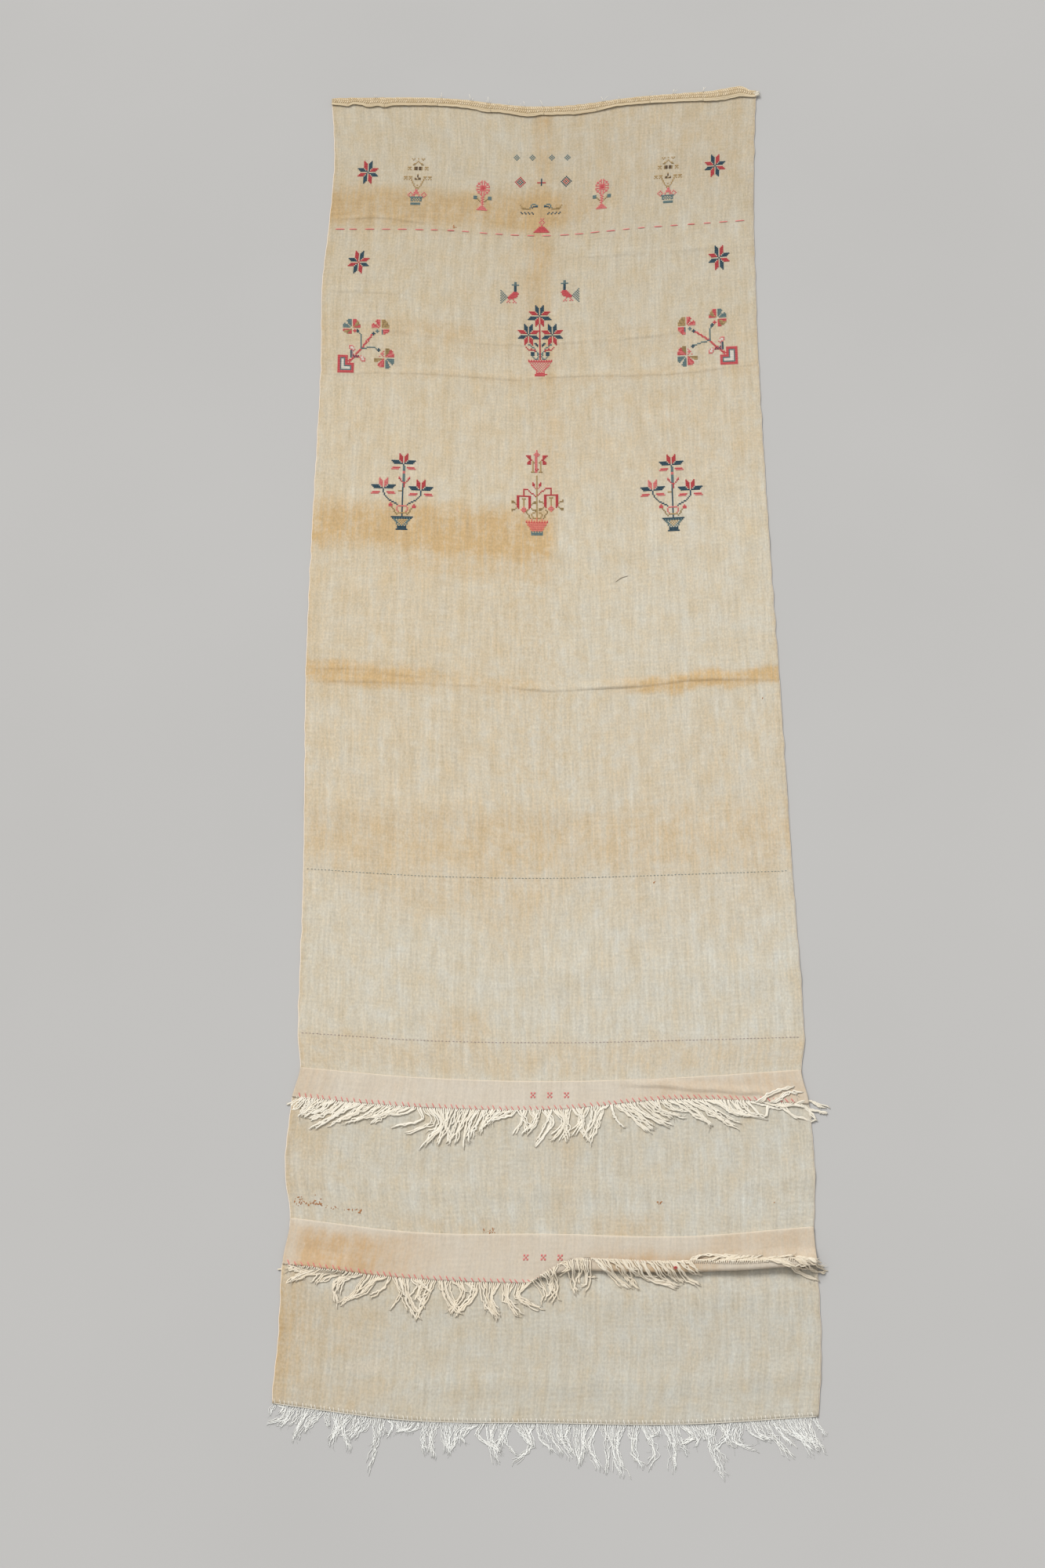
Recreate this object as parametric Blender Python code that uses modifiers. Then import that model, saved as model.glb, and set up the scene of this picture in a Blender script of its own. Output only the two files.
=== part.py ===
"""Cross-stitch show towel, lying face up and nearly flat.

Three lengths of linen are joined end to end. A fringed flap covers each join, a narrow
tape finishes the head, and a third fringe hangs from the foot. Metres, +Z up, +Y towards
the head. The origin is under the middle of the towel, on the surface that it lies on.
"""

import math
import random
from bisect import bisect_right

import bpy
import bmesh
from mathutils import Vector
from mathutils.geometry import intersect_point_line

# Thicknesses and clearances
LINEN = 0.0012            # thickness of the linen and of the fringe locks
TAPE = 0.0010             # thickness of the heading tape
GAP = 0.0003              # between pieces that touch
SEWN_GAP = 0.0006         # between a fringe's strip and the edge that it is sewn to
SECOND_LAYER = LINEN + GAP

# Size of the grid that each sheet is shaped from
PANEL_COLUMNS = 12
FLAP_COLUMNS = 28
TAPE_COLUMNS = 26
LONGEST_CELL = 0.075
TURN_COLUMNS = (-0.18, 0.02, 0.0125)   # first side, last side and step where a flap twists

# Weft lines of the towel, from head to foot. The first five columns are the line's y at the
# left edge, left quarter, middle, right quarter and right edge, and the last two columns
# are the x of the towel's left and right edge there.
SIDES = (-1.0, -0.5, 0.0, 0.5, 1.0)
WEFT = (
    # y_left, y_left_quarter, y_middle, y_right_quarter, y_right, x_left, x_right
    (0.661, 0.661, 0.650, 0.664, 0.673, -0.219, 0.211),
    (0.590, 0.589, 0.582, 0.592, 0.599, -0.214, 0.206),
    (0.502, 0.501, 0.494, 0.504, 0.513, -0.217, 0.202),
    (0.440, 0.438, 0.430, 0.438, 0.447, -0.221, 0.201),
    (0.341, 0.337, 0.328, 0.337, 0.343, -0.219, 0.200),
    (0.154, 0.152, 0.144, 0.151, 0.157, -0.221, 0.202),
    (0.017, 0.010, 0.002, 0.007, 0.014, -0.221, 0.205),
    (-0.169, -0.176, -0.178, -0.175, -0.171, -0.216, 0.208),
    (-0.316, -0.323, -0.325, -0.323, -0.320, -0.215, 0.211),
    (-0.348, -0.357, -0.360, -0.357, -0.350, -0.212, 0.207),
    (-0.376, -0.384, -0.387, -0.383, -0.378, -0.218, 0.212),
    (-0.431, -0.440, -0.444, -0.441, -0.434, -0.221, 0.214),
    (-0.474, -0.486, -0.487, -0.489, -0.481, -0.215, 0.211),
    (-0.509, -0.520, -0.522, -0.523, -0.516, -0.220, 0.212),
    (-0.564, -0.577, -0.580, -0.580, -0.573, -0.221, 0.212),
    (-0.618, -0.631, -0.633, -0.634, -0.628, -0.224, 0.207),
)
HEAD = 0.650              # each line is named by its y in the middle
FIRST_JOIN = -0.360
SECOND_JOIN = -0.487
FOOT = -0.633

# Creases across the panels, as low ridges that the cloth stands up in
CREASES = (
    # line's y in the middle, height, half width, first side, last side
    (0.526, 0.0011, 0.011, -1.2, 0.1),
    (0.473, 0.0010, 0.010, -0.7, 0.9),
    (0.418, 0.0012, 0.012, -1.4, -0.2),
    (0.377, 0.0010, 0.012, -0.1, 1.2),
    (0.330, 0.0022, 0.014, -1.3, 1.3),
    (0.145, 0.0009, 0.020, -0.5, 1.3),
    (0.002, 0.0028, 0.012, -1.4, 1.4),
    (-0.120, 0.0010, 0.022, -1.3, 0.3),
    (-0.262, 0.0011, 0.022, -0.3, 1.3),
    (-0.452, 0.0010, 0.011, -1.2, 1.2),
    (-0.604, 0.0012, 0.014, -0.6, 1.3),
)
CREASE_FADE = 0.35        # share of the width over which a crease dies out

# Heading tape: how far it stands past the cloth's head, its width and its wavy lower edge
TAPE_OVER = 0.0012
TAPE_WIDTH = (
    # side, width
    (-1.00, 0.0092),
    (-0.93, 0.0100),
    (-0.88, 0.0075),
    (-0.78, 0.0120),
    (-0.70, 0.0105),
    (-0.45, 0.0118),
    (-0.25, 0.0112),
    (-0.05, 0.0128),
    (0.15, 0.0104),
    (0.45, 0.0098),
    (0.70, 0.0122),
    (0.86, 0.0150),
    (0.93, 0.0118),
    (1.00, 0.0088),
)
TAPE_LIFT = 0.0011        # most that its lower edge curls up where it is narrow

# First flap: how far it laps over the join, its depth, and the soft roll near its seam
FLAP_LAP = 0.002
UPPER_DEPTH = (0.0250, 0.0250, 0.0240, 0.0180, 0.0290)
ROLL = (
    # side, height of the roll, distance of its crest below the flap's top
    (0.22, 0.0000, 0.0020),
    (0.40, 0.0020, 0.0060),
    (0.62, 0.0036, 0.0120),
    (0.76, 0.0030, 0.0160),
    (0.90, 0.0000, 0.0190),
)
ROLL_HALF = 0.0060
UPPER_STATIONS = (0.0, 0.2, 0.4, 0.6, 0.8, 1.0)

# Second flap: its cut depth, and how its lower edge lifts and turns up to the right
LOWER_DEPTH = (0.0370, 0.0370, 0.0400, 0.0390, 0.0390)
TURN = (
    # side, lift of the edge, length along the cloth from its top to the fold
    (-1.00, 0.0000, 0.0450),
    (-0.90, 0.0024, 0.0450),
    (-0.80, 0.0030, 0.0450),
    (-0.68, 0.0000, 0.0450),
    (-0.24, 0.0000, 0.0450),
    (0.12, 0.0000, 0.0270),
    (0.50, 0.0010, 0.0270),
    (0.80, 0.0028, 0.0290),
    (1.00, 0.0040, 0.0300),
)
TURN_RADIUS = 0.0019
TURN_STEPS = 5
LEAST_TURN = 0.0030       # cloth kept for the turn's grid lines where nothing is turned
LIFT_RUN = 0.0160         # length of cloth over which the edge lifts

# Fringes: a woven header strip with locks fused to it
LOCKS = 72
STRIP = 0.0030
ROOT_WIDTH = 0.0022
TIP_WIDTH = 0.0013
APART = 0.0025            # least distance between the middles of two locks
NEIGHBOURS = 10           # how many earlier locks a new one is kept clear of
TRIES = 160               # ways that are tried before a lock is laid as it comes
SEARCH_GROWTH = 0.1       # how much wider each try looks for room than the one before
LOCK_STEPS = 4
BOW = 1.2                 # how late a lock turns aside: 1 is straight
STEEPEST = 1.6            # most sideways drift for each metre of drop
DRIFT_SPREAD = 0.0022     # how unevenly the locks drift and drop
DROP_SPREAD = (0.80, 1.16)
OVER_FOLD = 0.105         # x where the turned-up fringe stops falling back over the fold
OFF_EDGE = 0.182          # x past which it runs out over the right edge
OVER_TURN = 0.0009        # radius of the turn by which a root comes over the fold
FALL_RUN = 0.0050         # how far in front of the fold a falling lock is half way down
TURNING = 0.0010          # below this plan length, a step of a lock is a turn on the spot

# How each fringe lies: drift is the way its tips have moved along +X, drop the way down -Y
UPPER_SWEEP = (
    # x of the root, drift, drop
    (-0.214, -0.010, 0.024),
    (-0.190, -0.030, 0.020),
    (-0.150, -0.042, 0.020),
    (-0.125, -0.040, 0.019),
    (-0.104, -0.014, 0.030),
    (-0.074, -0.022, 0.031),
    (-0.040, -0.026, 0.018),
    (-0.022, -0.006, 0.025),
    (-0.005, -0.008, 0.030),
    (0.024, -0.010, 0.034),
    (0.040, 0.010, 0.022),
    (0.076, 0.024, 0.020),
    (0.109, 0.026, 0.024),
    (0.145, 0.024, 0.014),
    (0.175, 0.026, 0.015),
    (0.209, 0.025, 0.013),
)
LOWER_SWEEP = (
    (-0.218, -0.006, 0.010),
    (-0.190, -0.016, 0.011),
    (-0.163, -0.024, 0.014),
    (-0.144, -0.018, 0.026),
    (-0.128, -0.012, 0.027),
    (-0.110, 0.006, 0.031),
    (-0.087, 0.010, 0.029),
    (-0.068, -0.004, 0.030),
    (-0.050, 0.010, 0.031),
    (-0.021, 0.014, 0.024),
    (0.010, 0.000, 0.026),
    (0.030, 0.010, 0.020),
    (0.060, 0.020, 0.019),
    (0.098, 0.024, 0.014),
    (0.112, 0.024, 0.014),
    (0.160, 0.028, 0.015),
    (0.182, 0.022, 0.012),
    (0.210, 0.022, 0.010),
)
FOOT_SWEEP = (
    (-0.222, -0.004, 0.012),
    (-0.190, -0.010, 0.018),
    (-0.165, -0.004, 0.022),
    (-0.138, -0.006, 0.034),
    (-0.122, -0.009, 0.011),
    (-0.100, -0.005, 0.026),
    (-0.078, 0.002, 0.024),
    (-0.058, -0.006, 0.014),
    (-0.044, 0.012, 0.030),
    (-0.024, -0.004, 0.022),
    (0.000, 0.008, 0.028),
    (0.028, 0.004, 0.034),
    (0.046, -0.002, 0.038),
    (0.060, 0.008, 0.022),
    (0.080, 0.002, 0.036),
    (0.100, 0.002, 0.014),
    (0.118, 0.008, 0.040),
    (0.134, -0.006, 0.020),
    (0.152, 0.014, 0.022),
    (0.184, 0.022, 0.026),
    (0.206, 0.010, 0.020),
)

COLLECTION = "show towel"

# Materials: linear RGB and roughness
LINEN_LOOK = (0.64, 0.54, 0.39), 0.92
FLAP_LOOK = (0.70, 0.58, 0.44), 0.92
TAPE_LOOK = (0.60, 0.47, 0.31), 0.90
YARN_LOOK = (0.70, 0.64, 0.53), 0.88


def spline(knots, values, at):
    """Reads a smooth curve that passes through the values at the rising knots."""
    last = len(knots) - 1
    i = min(max(bisect_right(knots, at) - 1, 0), last - 1)

    def slope(j):
        a, b = max(j - 1, 0), min(j + 1, last)
        return (values[b] - values[a]) / (knots[b] - knots[a])

    step = knots[i + 1] - knots[i]
    t = min(max((at - knots[i]) / step, 0.0), 1.0)
    rise = values[i + 1] - values[i]
    ease = t * t * (3 - 2 * t)
    start = t * (1 - t) ** 2 * slope(i) * step
    end = t * t * (t - 1) * slope(i + 1) * step
    return values[i] + rise * ease + start + end


def eased(table, column, at):
    """Reads a column of a table, easing from row to row without overshoot."""
    knots = [row[0] for row in table]
    i = min(max(bisect_right(knots, at) - 1, 0), len(knots) - 2)
    t = min(max((at - knots[i]) / (knots[i + 1] - knots[i]), 0.0), 1.0)
    ease = t * t * (3 - 2 * t)
    return table[i][column] * (1 - ease) + table[i + 1][column] * ease


def weft_column(column, line):
    """Reads one column of the weft table on the line that has this y in the middle."""
    rows = WEFT[::-1]
    return spline([row[2] for row in rows], [row[column] for row in rows], line)


def ground(side, line):
    """The point of the towel's plan at a side from -1 to 1 on a weft line."""
    heights = [weft_column(k, line) for k in range(len(SIDES))]
    left, right = weft_column(5, line), weft_column(6, line)
    return left + (right - left) * (side + 1) / 2, spline(SIDES, heights, side)


def side_at(x, line):
    """The side from -1 to 1 that has this x on a weft line."""
    left, right = weft_column(5, line), weft_column(6, line)
    return 2 * (x - left) / (right - left) - 1


def crease_height(side, line):
    """How far the creases lift the panel's underside."""
    lift = 0.0
    for at, height, half, first, last in CREASES:
        across = min(side - first, last - side) / CREASE_FADE
        fade = min(max(across, 0.0), 1.0)
        near = 1 - abs(line - at) / half
        if near > 0 and fade > 0:
            lift += height * fade * near * near * (3 - 2 * near)
    return lift


def panel_lines(first, last):
    """Weft lines for a panel's grid: its ends, its creases, and lines to fill between."""
    lines = {first, last}
    for at, _, half, _, _ in CREASES:
        lines.update(v for v in (at - half, at, at + half) if last < v < first)
    lines = sorted(lines)
    filled = [lines[0]]
    for line in lines[1:]:
        cells = math.ceil((line - filled[-1]) / LONGEST_CELL)
        start = filled[-1]
        filled += [start + (line - start) * k / cells for k in range(1, cells + 1)]
    return filled


def material(name, colour, roughness):
    """A plain woven material."""
    result = bpy.data.materials.new(name)
    result.use_nodes = True
    shader = result.node_tree.nodes["Principled BSDF"]
    shader.inputs["Base Color"].default_value = (*colour, 1.0)
    shader.inputs["Roughness"].default_value = roughness
    shader.inputs["Metallic"].default_value = 0.0
    return result


def cloth(name, bm, thickness, surface):
    """Turns an open surface, the cloth's underside, into a sheet of this thickness."""
    mesh = bpy.data.meshes.new(name)
    bm.to_mesh(mesh)
    bm.free()
    mesh.shade_smooth()
    mesh.materials.append(surface)
    sheet = bpy.data.objects.new(name, mesh)
    bpy.data.collections[COLLECTION].objects.link(sheet)
    solid = sheet.modifiers.new("Thickness", "SOLIDIFY")
    solid.thickness = thickness
    solid.offset = 1.0
    return sheet


def lofted(columns, stations, place):
    """A grid whose points are placed by column and station, both counted from 0."""
    bm = bmesh.new()
    bmesh.ops.create_grid(bm, x_segments=columns, y_segments=stations, size=1.0)
    for vert in bm.verts:
        column = round((vert.co.x + 1) / 2 * columns)
        station = round((vert.co.y + 1) / 2 * stations)
        vert.co = place(column, station)
    return bm


def panel(name, first, last, surface):
    """One flat length of linen between two weft lines."""
    lines = panel_lines(first, last)

    def place(column, station):
        side = 2 * column / PANEL_COLUMNS - 1
        x, y = ground(side, lines[station])
        return Vector((x, y, crease_height(side, lines[station])))

    return cloth(name, lofted(PANEL_COLUMNS, len(lines) - 1, place), LINEN, surface)


def heading_tape(surface):
    """The narrow tape along the head, its lower edge wavy and curling up where narrow."""
    widest = max(row[1] for row in TAPE_WIDTH)
    narrowest = min(row[1] for row in TAPE_WIDTH)

    def place(column, station):
        side = 2 * column / TAPE_COLUMNS - 1
        x, y = ground(side, HEAD)
        width = eased(TAPE_WIDTH, 1, side)
        share = 1 - station / 2
        curl = (widest - width) / (widest - narrowest) * TAPE_LIFT * share ** 2
        return Vector((x, y + TAPE_OVER - width * share, SECOND_LAYER + curl))

    return cloth("heading_tape", lofted(TAPE_COLUMNS, 2, place), TAPE, surface)


def upper_flap_point(side, along):
    """Underside of the first flap, at a distance along the cloth from its top edge."""
    top = ground(side, FIRST_JOIN)[1]
    x = ground(side, FIRST_JOIN - along)[0]
    near = 1 - abs(along - eased(ROLL, 2, side)) / ROLL_HALF
    roll = eased(ROLL, 1, side) * max(near, 0.0) ** 2 * (3 - 2 * max(near, 0.0))
    return Vector((x, top + FLAP_LAP - along, SECOND_LAYER + roll))


def turn_angle(side, along):
    """How far the second flap has turned up by a distance along its cloth."""
    bent = max(along - eased(TURN, 2, side), 0.0)
    return min(bent / TURN_RADIUS, math.pi)


def lower_flap_point(side, along):
    """Underside of the second flap: flat, then lifting, then turned up and back."""
    top = ground(side, SECOND_JOIN)[1] + FLAP_LAP
    lift, fold = eased(TURN, 1, side), eased(TURN, 2, side)
    before = min(along, fold)
    angle = turn_angle(side, along)
    after = max(along - fold, 0.0) - angle * TURN_RADIUS
    depth = min(fold, spline(SIDES, LOWER_DEPTH, side))
    rise = min(max(1 - (depth - before) / LIFT_RUN, 0.0), 1.0)
    y = top - before - TURN_RADIUS * math.sin(angle) - after * math.cos(angle)
    z = SECOND_LAYER + lift * rise ** 2 * (3 - 2 * rise)
    z += TURN_RADIUS * (1 - math.cos(angle)) + after * math.sin(angle)
    x = ground(side, SECOND_JOIN + y - top)[0]
    return Vector((x, y, z))


def even_sides(columns):
    """Sides from -1 to 1, evenly spaced."""
    return [2 * column / columns - 1 for column in range(columns + 1)]


def lower_sides():
    """Sides for the second flap's grid lines, closer together where it twists."""
    first, last, step = TURN_COLUMNS
    twist = [first + step * k for k in range(round((last - first) / step) + 1)]
    return sorted([v for v in even_sides(FLAP_COLUMNS) if not first <= v <= last] + twist)


def upper_flap(surface):
    """The first flap, with its soft roll."""
    sides = even_sides(FLAP_COLUMNS)

    def place(column, station):
        depth = spline(SIDES, UPPER_DEPTH, sides[column])
        return upper_flap_point(sides[column], depth * UPPER_STATIONS[-1 - station])

    shape = lofted(len(sides) - 1, len(UPPER_STATIONS) - 1, place)
    return cloth("flap_upper", shape, LINEN, surface)


def lower_stations(side):
    """Distances along the second flap's cloth where its profile needs a point."""
    depth = spline(SIDES, LOWER_DEPTH, side)
    fold = min(eased(TURN, 2, side), depth - LEAST_TURN)
    bend = min(TURN_RADIUS * math.pi, (depth - fold) * 0.9)
    ramp = [fold - LIFT_RUN * share for share in (1.0, 0.6, 0.3)]
    arc = [fold + bend * k / TURN_STEPS for k in range(TURN_STEPS + 1)]
    return [0.0, *ramp, *arc, depth]


def lower_flap(surface):
    """The second flap, turned up along the right of its lower edge."""
    sides = lower_sides()
    count = len(lower_stations(0.0))

    def place(column, station):
        side = sides[column]
        return lower_flap_point(side, lower_stations(side)[count - 1 - station])

    return cloth("flap_lower", lofted(len(sides) - 1, count - 1, place), LINEN, surface)


def between_columns(sides, side, point_at):
    """Reads a point along an edge that runs straight from column to column of a sheet."""
    column = min(max(bisect_right(sides, side) - 1, 0), len(sides) - 2)
    left, right = sides[column], sides[column + 1]
    return point_at(left).lerp(point_at(right), (side - left) / (right - left))


def upper_edge(side, out):
    """The point this far beyond the first flap's lower edge, on the same surface."""
    return between_columns(even_sides(FLAP_COLUMNS), side, lambda at: upper_flap_point(
        at, spline(SIDES, UPPER_DEPTH, at) + out))


def lower_edge(side, out):
    """The point this far beyond the second flap's edge, straight on from the way it faces."""
    def place(at):
        before, edge = (lower_flap_point(at, along) for along in lower_stations(at)[-2:])
        return edge + (edge - before).normalized() * out

    return between_columns(lower_sides(), side, place)


def foot_edge(side, out):
    """The point this far beyond the towel's foot, on the surface that it lies on."""
    return between_columns(even_sides(PANEL_COLUMNS), side, lambda at: Vector(
        (*ground(at, FOOT), 0.0)) - Vector((0.0, out, 0.0)))


def lying(root, drift, drop, rest):
    """A lock that lies down from its root, settling from the root's height to its rest."""
    points = []
    for k in range(1, LOCK_STEPS + 1):
        t = k / LOCK_STEPS
        height = rest + (root.z - rest) * (1 - t) ** 2
        points.append(Vector((root.x + drift * t ** BOW, root.y - drop * t, height)))
    return points


def falling_over(root, drift, drop, front, rest):
    """A lock whose root points back: it turns over, crosses the fold and falls in front."""
    fall = (
        # share of the drift, y, z
        (0.00, root.y + OVER_TURN, root.z + OVER_TURN),
        (0.02, root.y, root.z + 2 * OVER_TURN),
        (0.35, front + GAP, root.z + OVER_TURN),
        (0.65, front - FALL_RUN, rest + (root.z - rest) * 0.4),
        (1.00, front - drop, rest),
    )
    return [Vector((root.x + drift * share, y, z)) for share, y, z in fall]


def upper_path(side, root, drift, drop):
    """Locks of the first flap lie down on the middle panel."""
    return lying(root, drift, drop, SECOND_LAYER)


def foot_path(side, root, drift, drop):
    """Locks of the foot lie on the surface under the towel."""
    return lying(root, drift, drop, 0.0)


def lower_path(side, root, drift, drop):
    """Locks of the second flap lie down, lie back on the flap, or fall over the fold."""
    if turn_angle(side, spline(SIDES, LOWER_DEPTH, side)) < math.pi / 2:
        return lying(root, drift, drop, SECOND_LAYER)
    if OVER_FOLD < root.x < OFF_EDGE:
        return lying(root, drift, -drop, SECOND_LAYER + 2 * LINEN + GAP)
    front = lower_flap_point(side, eased(TURN, 2, side)).y - TURN_RADIUS
    return falling_over(root, drift, drop, front, SECOND_LAYER)


def clear_of(path, other):
    """Whether a path stays a lock's width away from another one."""
    samples = [a.lerp(b, k / 3) for a, b in zip(path, path[1:]) for k in range(1, 4)]
    for point in samples:
        for a, b in zip(other, other[1:]):
            share = min(max(intersect_point_line(point, a, b)[1], 0.0), 1.0)
            if (a.lerp(b, share) - point).length < APART:
                return False
    return True


def lay_lock(side, root, sweep, path_of, laid, rng):
    """Lays a lock the way that its fringe is swept there, clear of the locks before it."""
    for attempt in range(TRIES):
        spread = DRIFT_SPREAD * (1 + attempt * SEARCH_GROWTH)
        drift = eased(sweep, 1, root.x) + rng.uniform(-spread, spread)
        drop = eased(sweep, 2, root.x) * rng.uniform(*DROP_SPREAD)
        drift = math.copysign(min(abs(drift), STEEPEST * drop), drift)
        path = [root, *path_of(side, root, drift, drop)]
        if all(clear_of(path, other) for other in laid[-NEIGHBOURS:]):
            break
    return path


def across(a, b):
    """The unit vector towards +X that lies across the way from one point to the next."""
    way = Vector((b.x - a.x, b.y - a.y))
    if way.length < TURNING:
        return Vector((1.0, 0.0, 0.0))
    way.normalize()
    return Vector((abs(way.y), -math.copysign(way.x, way.x * way.y), 0.0))


def grow_lock(bm, left, right, path):
    """Extrudes the strip's edge between two points along a lock's path."""
    for step, (before, point) in enumerate(zip(path, path[1:]), start=1):
        grown = bmesh.ops.extrude_edge_only(bm, edges=[bm.edges.get((left, right))])["geom"]
        ends = [item for item in grown if isinstance(item, bmesh.types.BMVert)]
        left, right = sorted(ends, key=lambda vert: (vert.co - left.co).length)
        share = step / (len(path) - 1)
        reach = across(before, point) * (ROOT_WIDTH + (TIP_WIDTH - ROOT_WIDTH) * share) / 2
        left.co = point - reach
        right.co = point + reach


def fringe(name, edge, line, sweep, path_of, surface):
    """A header strip just beyond an edge, with locks grown from it."""
    rng = random.Random(name)
    first, last = side_at(sweep[0][0], line), side_at(sweep[-1][0], line)
    half = ROOT_WIDTH / (weft_column(6, line) - weft_column(5, line))
    roots = [first + (last - first) * k / (LOCKS - 1) for k in range(LOCKS)]
    columns = [side for root in roots for side in (root - half, root + half)]
    bm = bmesh.new()
    bmesh.ops.create_grid(bm, x_segments=len(columns) - 1, y_segments=1, size=1.0)
    front = {}
    for vert in bm.verts:
        column = round((vert.co.x + 1) / 2 * (len(columns) - 1))
        out = SEWN_GAP
        if vert.co.y < 0:
            front[column] = vert
            out += STRIP
        vert.co = edge(columns[column], out)
    laid = []
    for k, side in enumerate(roots):
        left, right = front[2 * k], front[2 * k + 1]
        root = (left.co + right.co) / 2
        laid.append(lay_lock(side, root, sweep, path_of, laid, rng))
        grow_lock(bm, left, right, laid[-1])
    return cloth(name, bm, LINEN, surface)


def main():
    """Builds the towel."""
    for item in list(bpy.data.objects):
        bpy.data.objects.remove(item, do_unlink=True)
    bpy.context.scene.collection.children.link(bpy.data.collections.new(COLLECTION))
    linen = material("linen", *LINEN_LOOK)
    flap_linen = material("flap linen", *FLAP_LOOK)
    tape = material("tape", *TAPE_LOOK)
    yarn = material("fringe yarn", *YARN_LOOK)
    half = GAP / 2
    panel("panel_upper", HEAD, FIRST_JOIN + half, linen)
    panel("panel_middle", FIRST_JOIN - half, SECOND_JOIN + half, linen)
    panel("panel_lower", SECOND_JOIN - half, FOOT, linen)
    heading_tape(tape)
    upper_flap(flap_linen)
    lower_flap(flap_linen)
    fringe("fringe_upper", upper_edge, FIRST_JOIN, UPPER_SWEEP, upper_path, yarn)
    fringe("fringe_lower", lower_edge, SECOND_JOIN, LOWER_SWEEP, lower_path, yarn)
    fringe("fringe_foot", foot_edge, FOOT, FOOT_SWEEP, foot_path, yarn)


main()
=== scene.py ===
"""Looks of the cross-stitch show towel: linen, flaps, tape, fringes and needlework.

Every thread is placed in cloth coordinates: a side from -1 to 1 across the towel and a weft
line, which is named by its y in the middle of the towel. Metres, +Z up, +Y to the head.
"""

import math
import random
from bisect import bisect_right
from functools import lru_cache

import bpy
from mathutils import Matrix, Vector, noise


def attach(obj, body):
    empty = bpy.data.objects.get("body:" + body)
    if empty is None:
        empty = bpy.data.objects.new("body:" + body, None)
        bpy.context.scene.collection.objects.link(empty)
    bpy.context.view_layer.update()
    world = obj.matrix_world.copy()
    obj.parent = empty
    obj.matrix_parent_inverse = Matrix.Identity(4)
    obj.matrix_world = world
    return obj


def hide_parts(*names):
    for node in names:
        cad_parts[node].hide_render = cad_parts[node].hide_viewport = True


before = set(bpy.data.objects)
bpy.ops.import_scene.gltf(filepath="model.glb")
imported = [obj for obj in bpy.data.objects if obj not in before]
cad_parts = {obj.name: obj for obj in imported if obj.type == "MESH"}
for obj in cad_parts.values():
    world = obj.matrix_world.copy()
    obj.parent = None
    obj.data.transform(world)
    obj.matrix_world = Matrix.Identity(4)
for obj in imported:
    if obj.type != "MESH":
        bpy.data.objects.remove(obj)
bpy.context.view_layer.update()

UP = Vector((0.0, 0.0, 1.0))

# The sheets are thinner than the solids that they stand for
LINEN = 0.0007            # thickness of the linen and the tape
PANEL_UNDER = 0.0002      # underside of the panels
FLAP_UNDER = 0.0012       # underside of what lies on the panels
MESH_STEP = 0.0050        # size of a sheet's grid cells
CREASE_STEP = 0.0007      # size of the cells across a sharp crease
NARROW_CELL = 0.0035      # width, in sides, of the cells along a sheet's edges
HALF_WIDTH = 0.2125       # half the loom width
MM = 0.001

# Weft lines of the towel, from head to foot: y at the left edge, left quarter, middle,
# right quarter and right edge, then the x of the left and right edge
SIDES = (-1.0, -0.5, 0.0, 0.5, 1.0)
WEFT = (
    (0.661, 0.661, 0.650, 0.664, 0.673, -0.219, 0.211),
    (0.590, 0.589, 0.582, 0.592, 0.599, -0.214, 0.206),
    (0.502, 0.501, 0.494, 0.504, 0.513, -0.217, 0.202),
    (0.440, 0.438, 0.430, 0.438, 0.447, -0.221, 0.201),
    (0.341, 0.337, 0.328, 0.337, 0.343, -0.219, 0.200),
    (0.154, 0.152, 0.144, 0.151, 0.157, -0.221, 0.202),
    (0.017, 0.010, 0.002, 0.007, 0.014, -0.221, 0.205),
    (-0.169, -0.176, -0.178, -0.175, -0.171, -0.216, 0.208),
    (-0.316, -0.323, -0.325, -0.323, -0.320, -0.215, 0.211),
    (-0.348, -0.357, -0.360, -0.357, -0.350, -0.212, 0.207),
    (-0.376, -0.384, -0.387, -0.383, -0.378, -0.218, 0.212),
    (-0.431, -0.440, -0.444, -0.441, -0.434, -0.221, 0.214),
    (-0.474, -0.486, -0.487, -0.489, -0.481, -0.215, 0.211),
    (-0.509, -0.520, -0.522, -0.523, -0.516, -0.220, 0.212),
    (-0.564, -0.577, -0.580, -0.580, -0.573, -0.221, 0.212),
    (-0.618, -0.631, -0.633, -0.634, -0.628, -0.224, 0.207),
)
HEAD = 0.650
FIRST_JOIN = -0.360
SECOND_JOIN = -0.487
FOOT = -0.633
JOIN_GAP = 0.00015        # from the line of a join to the linen's edge

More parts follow.
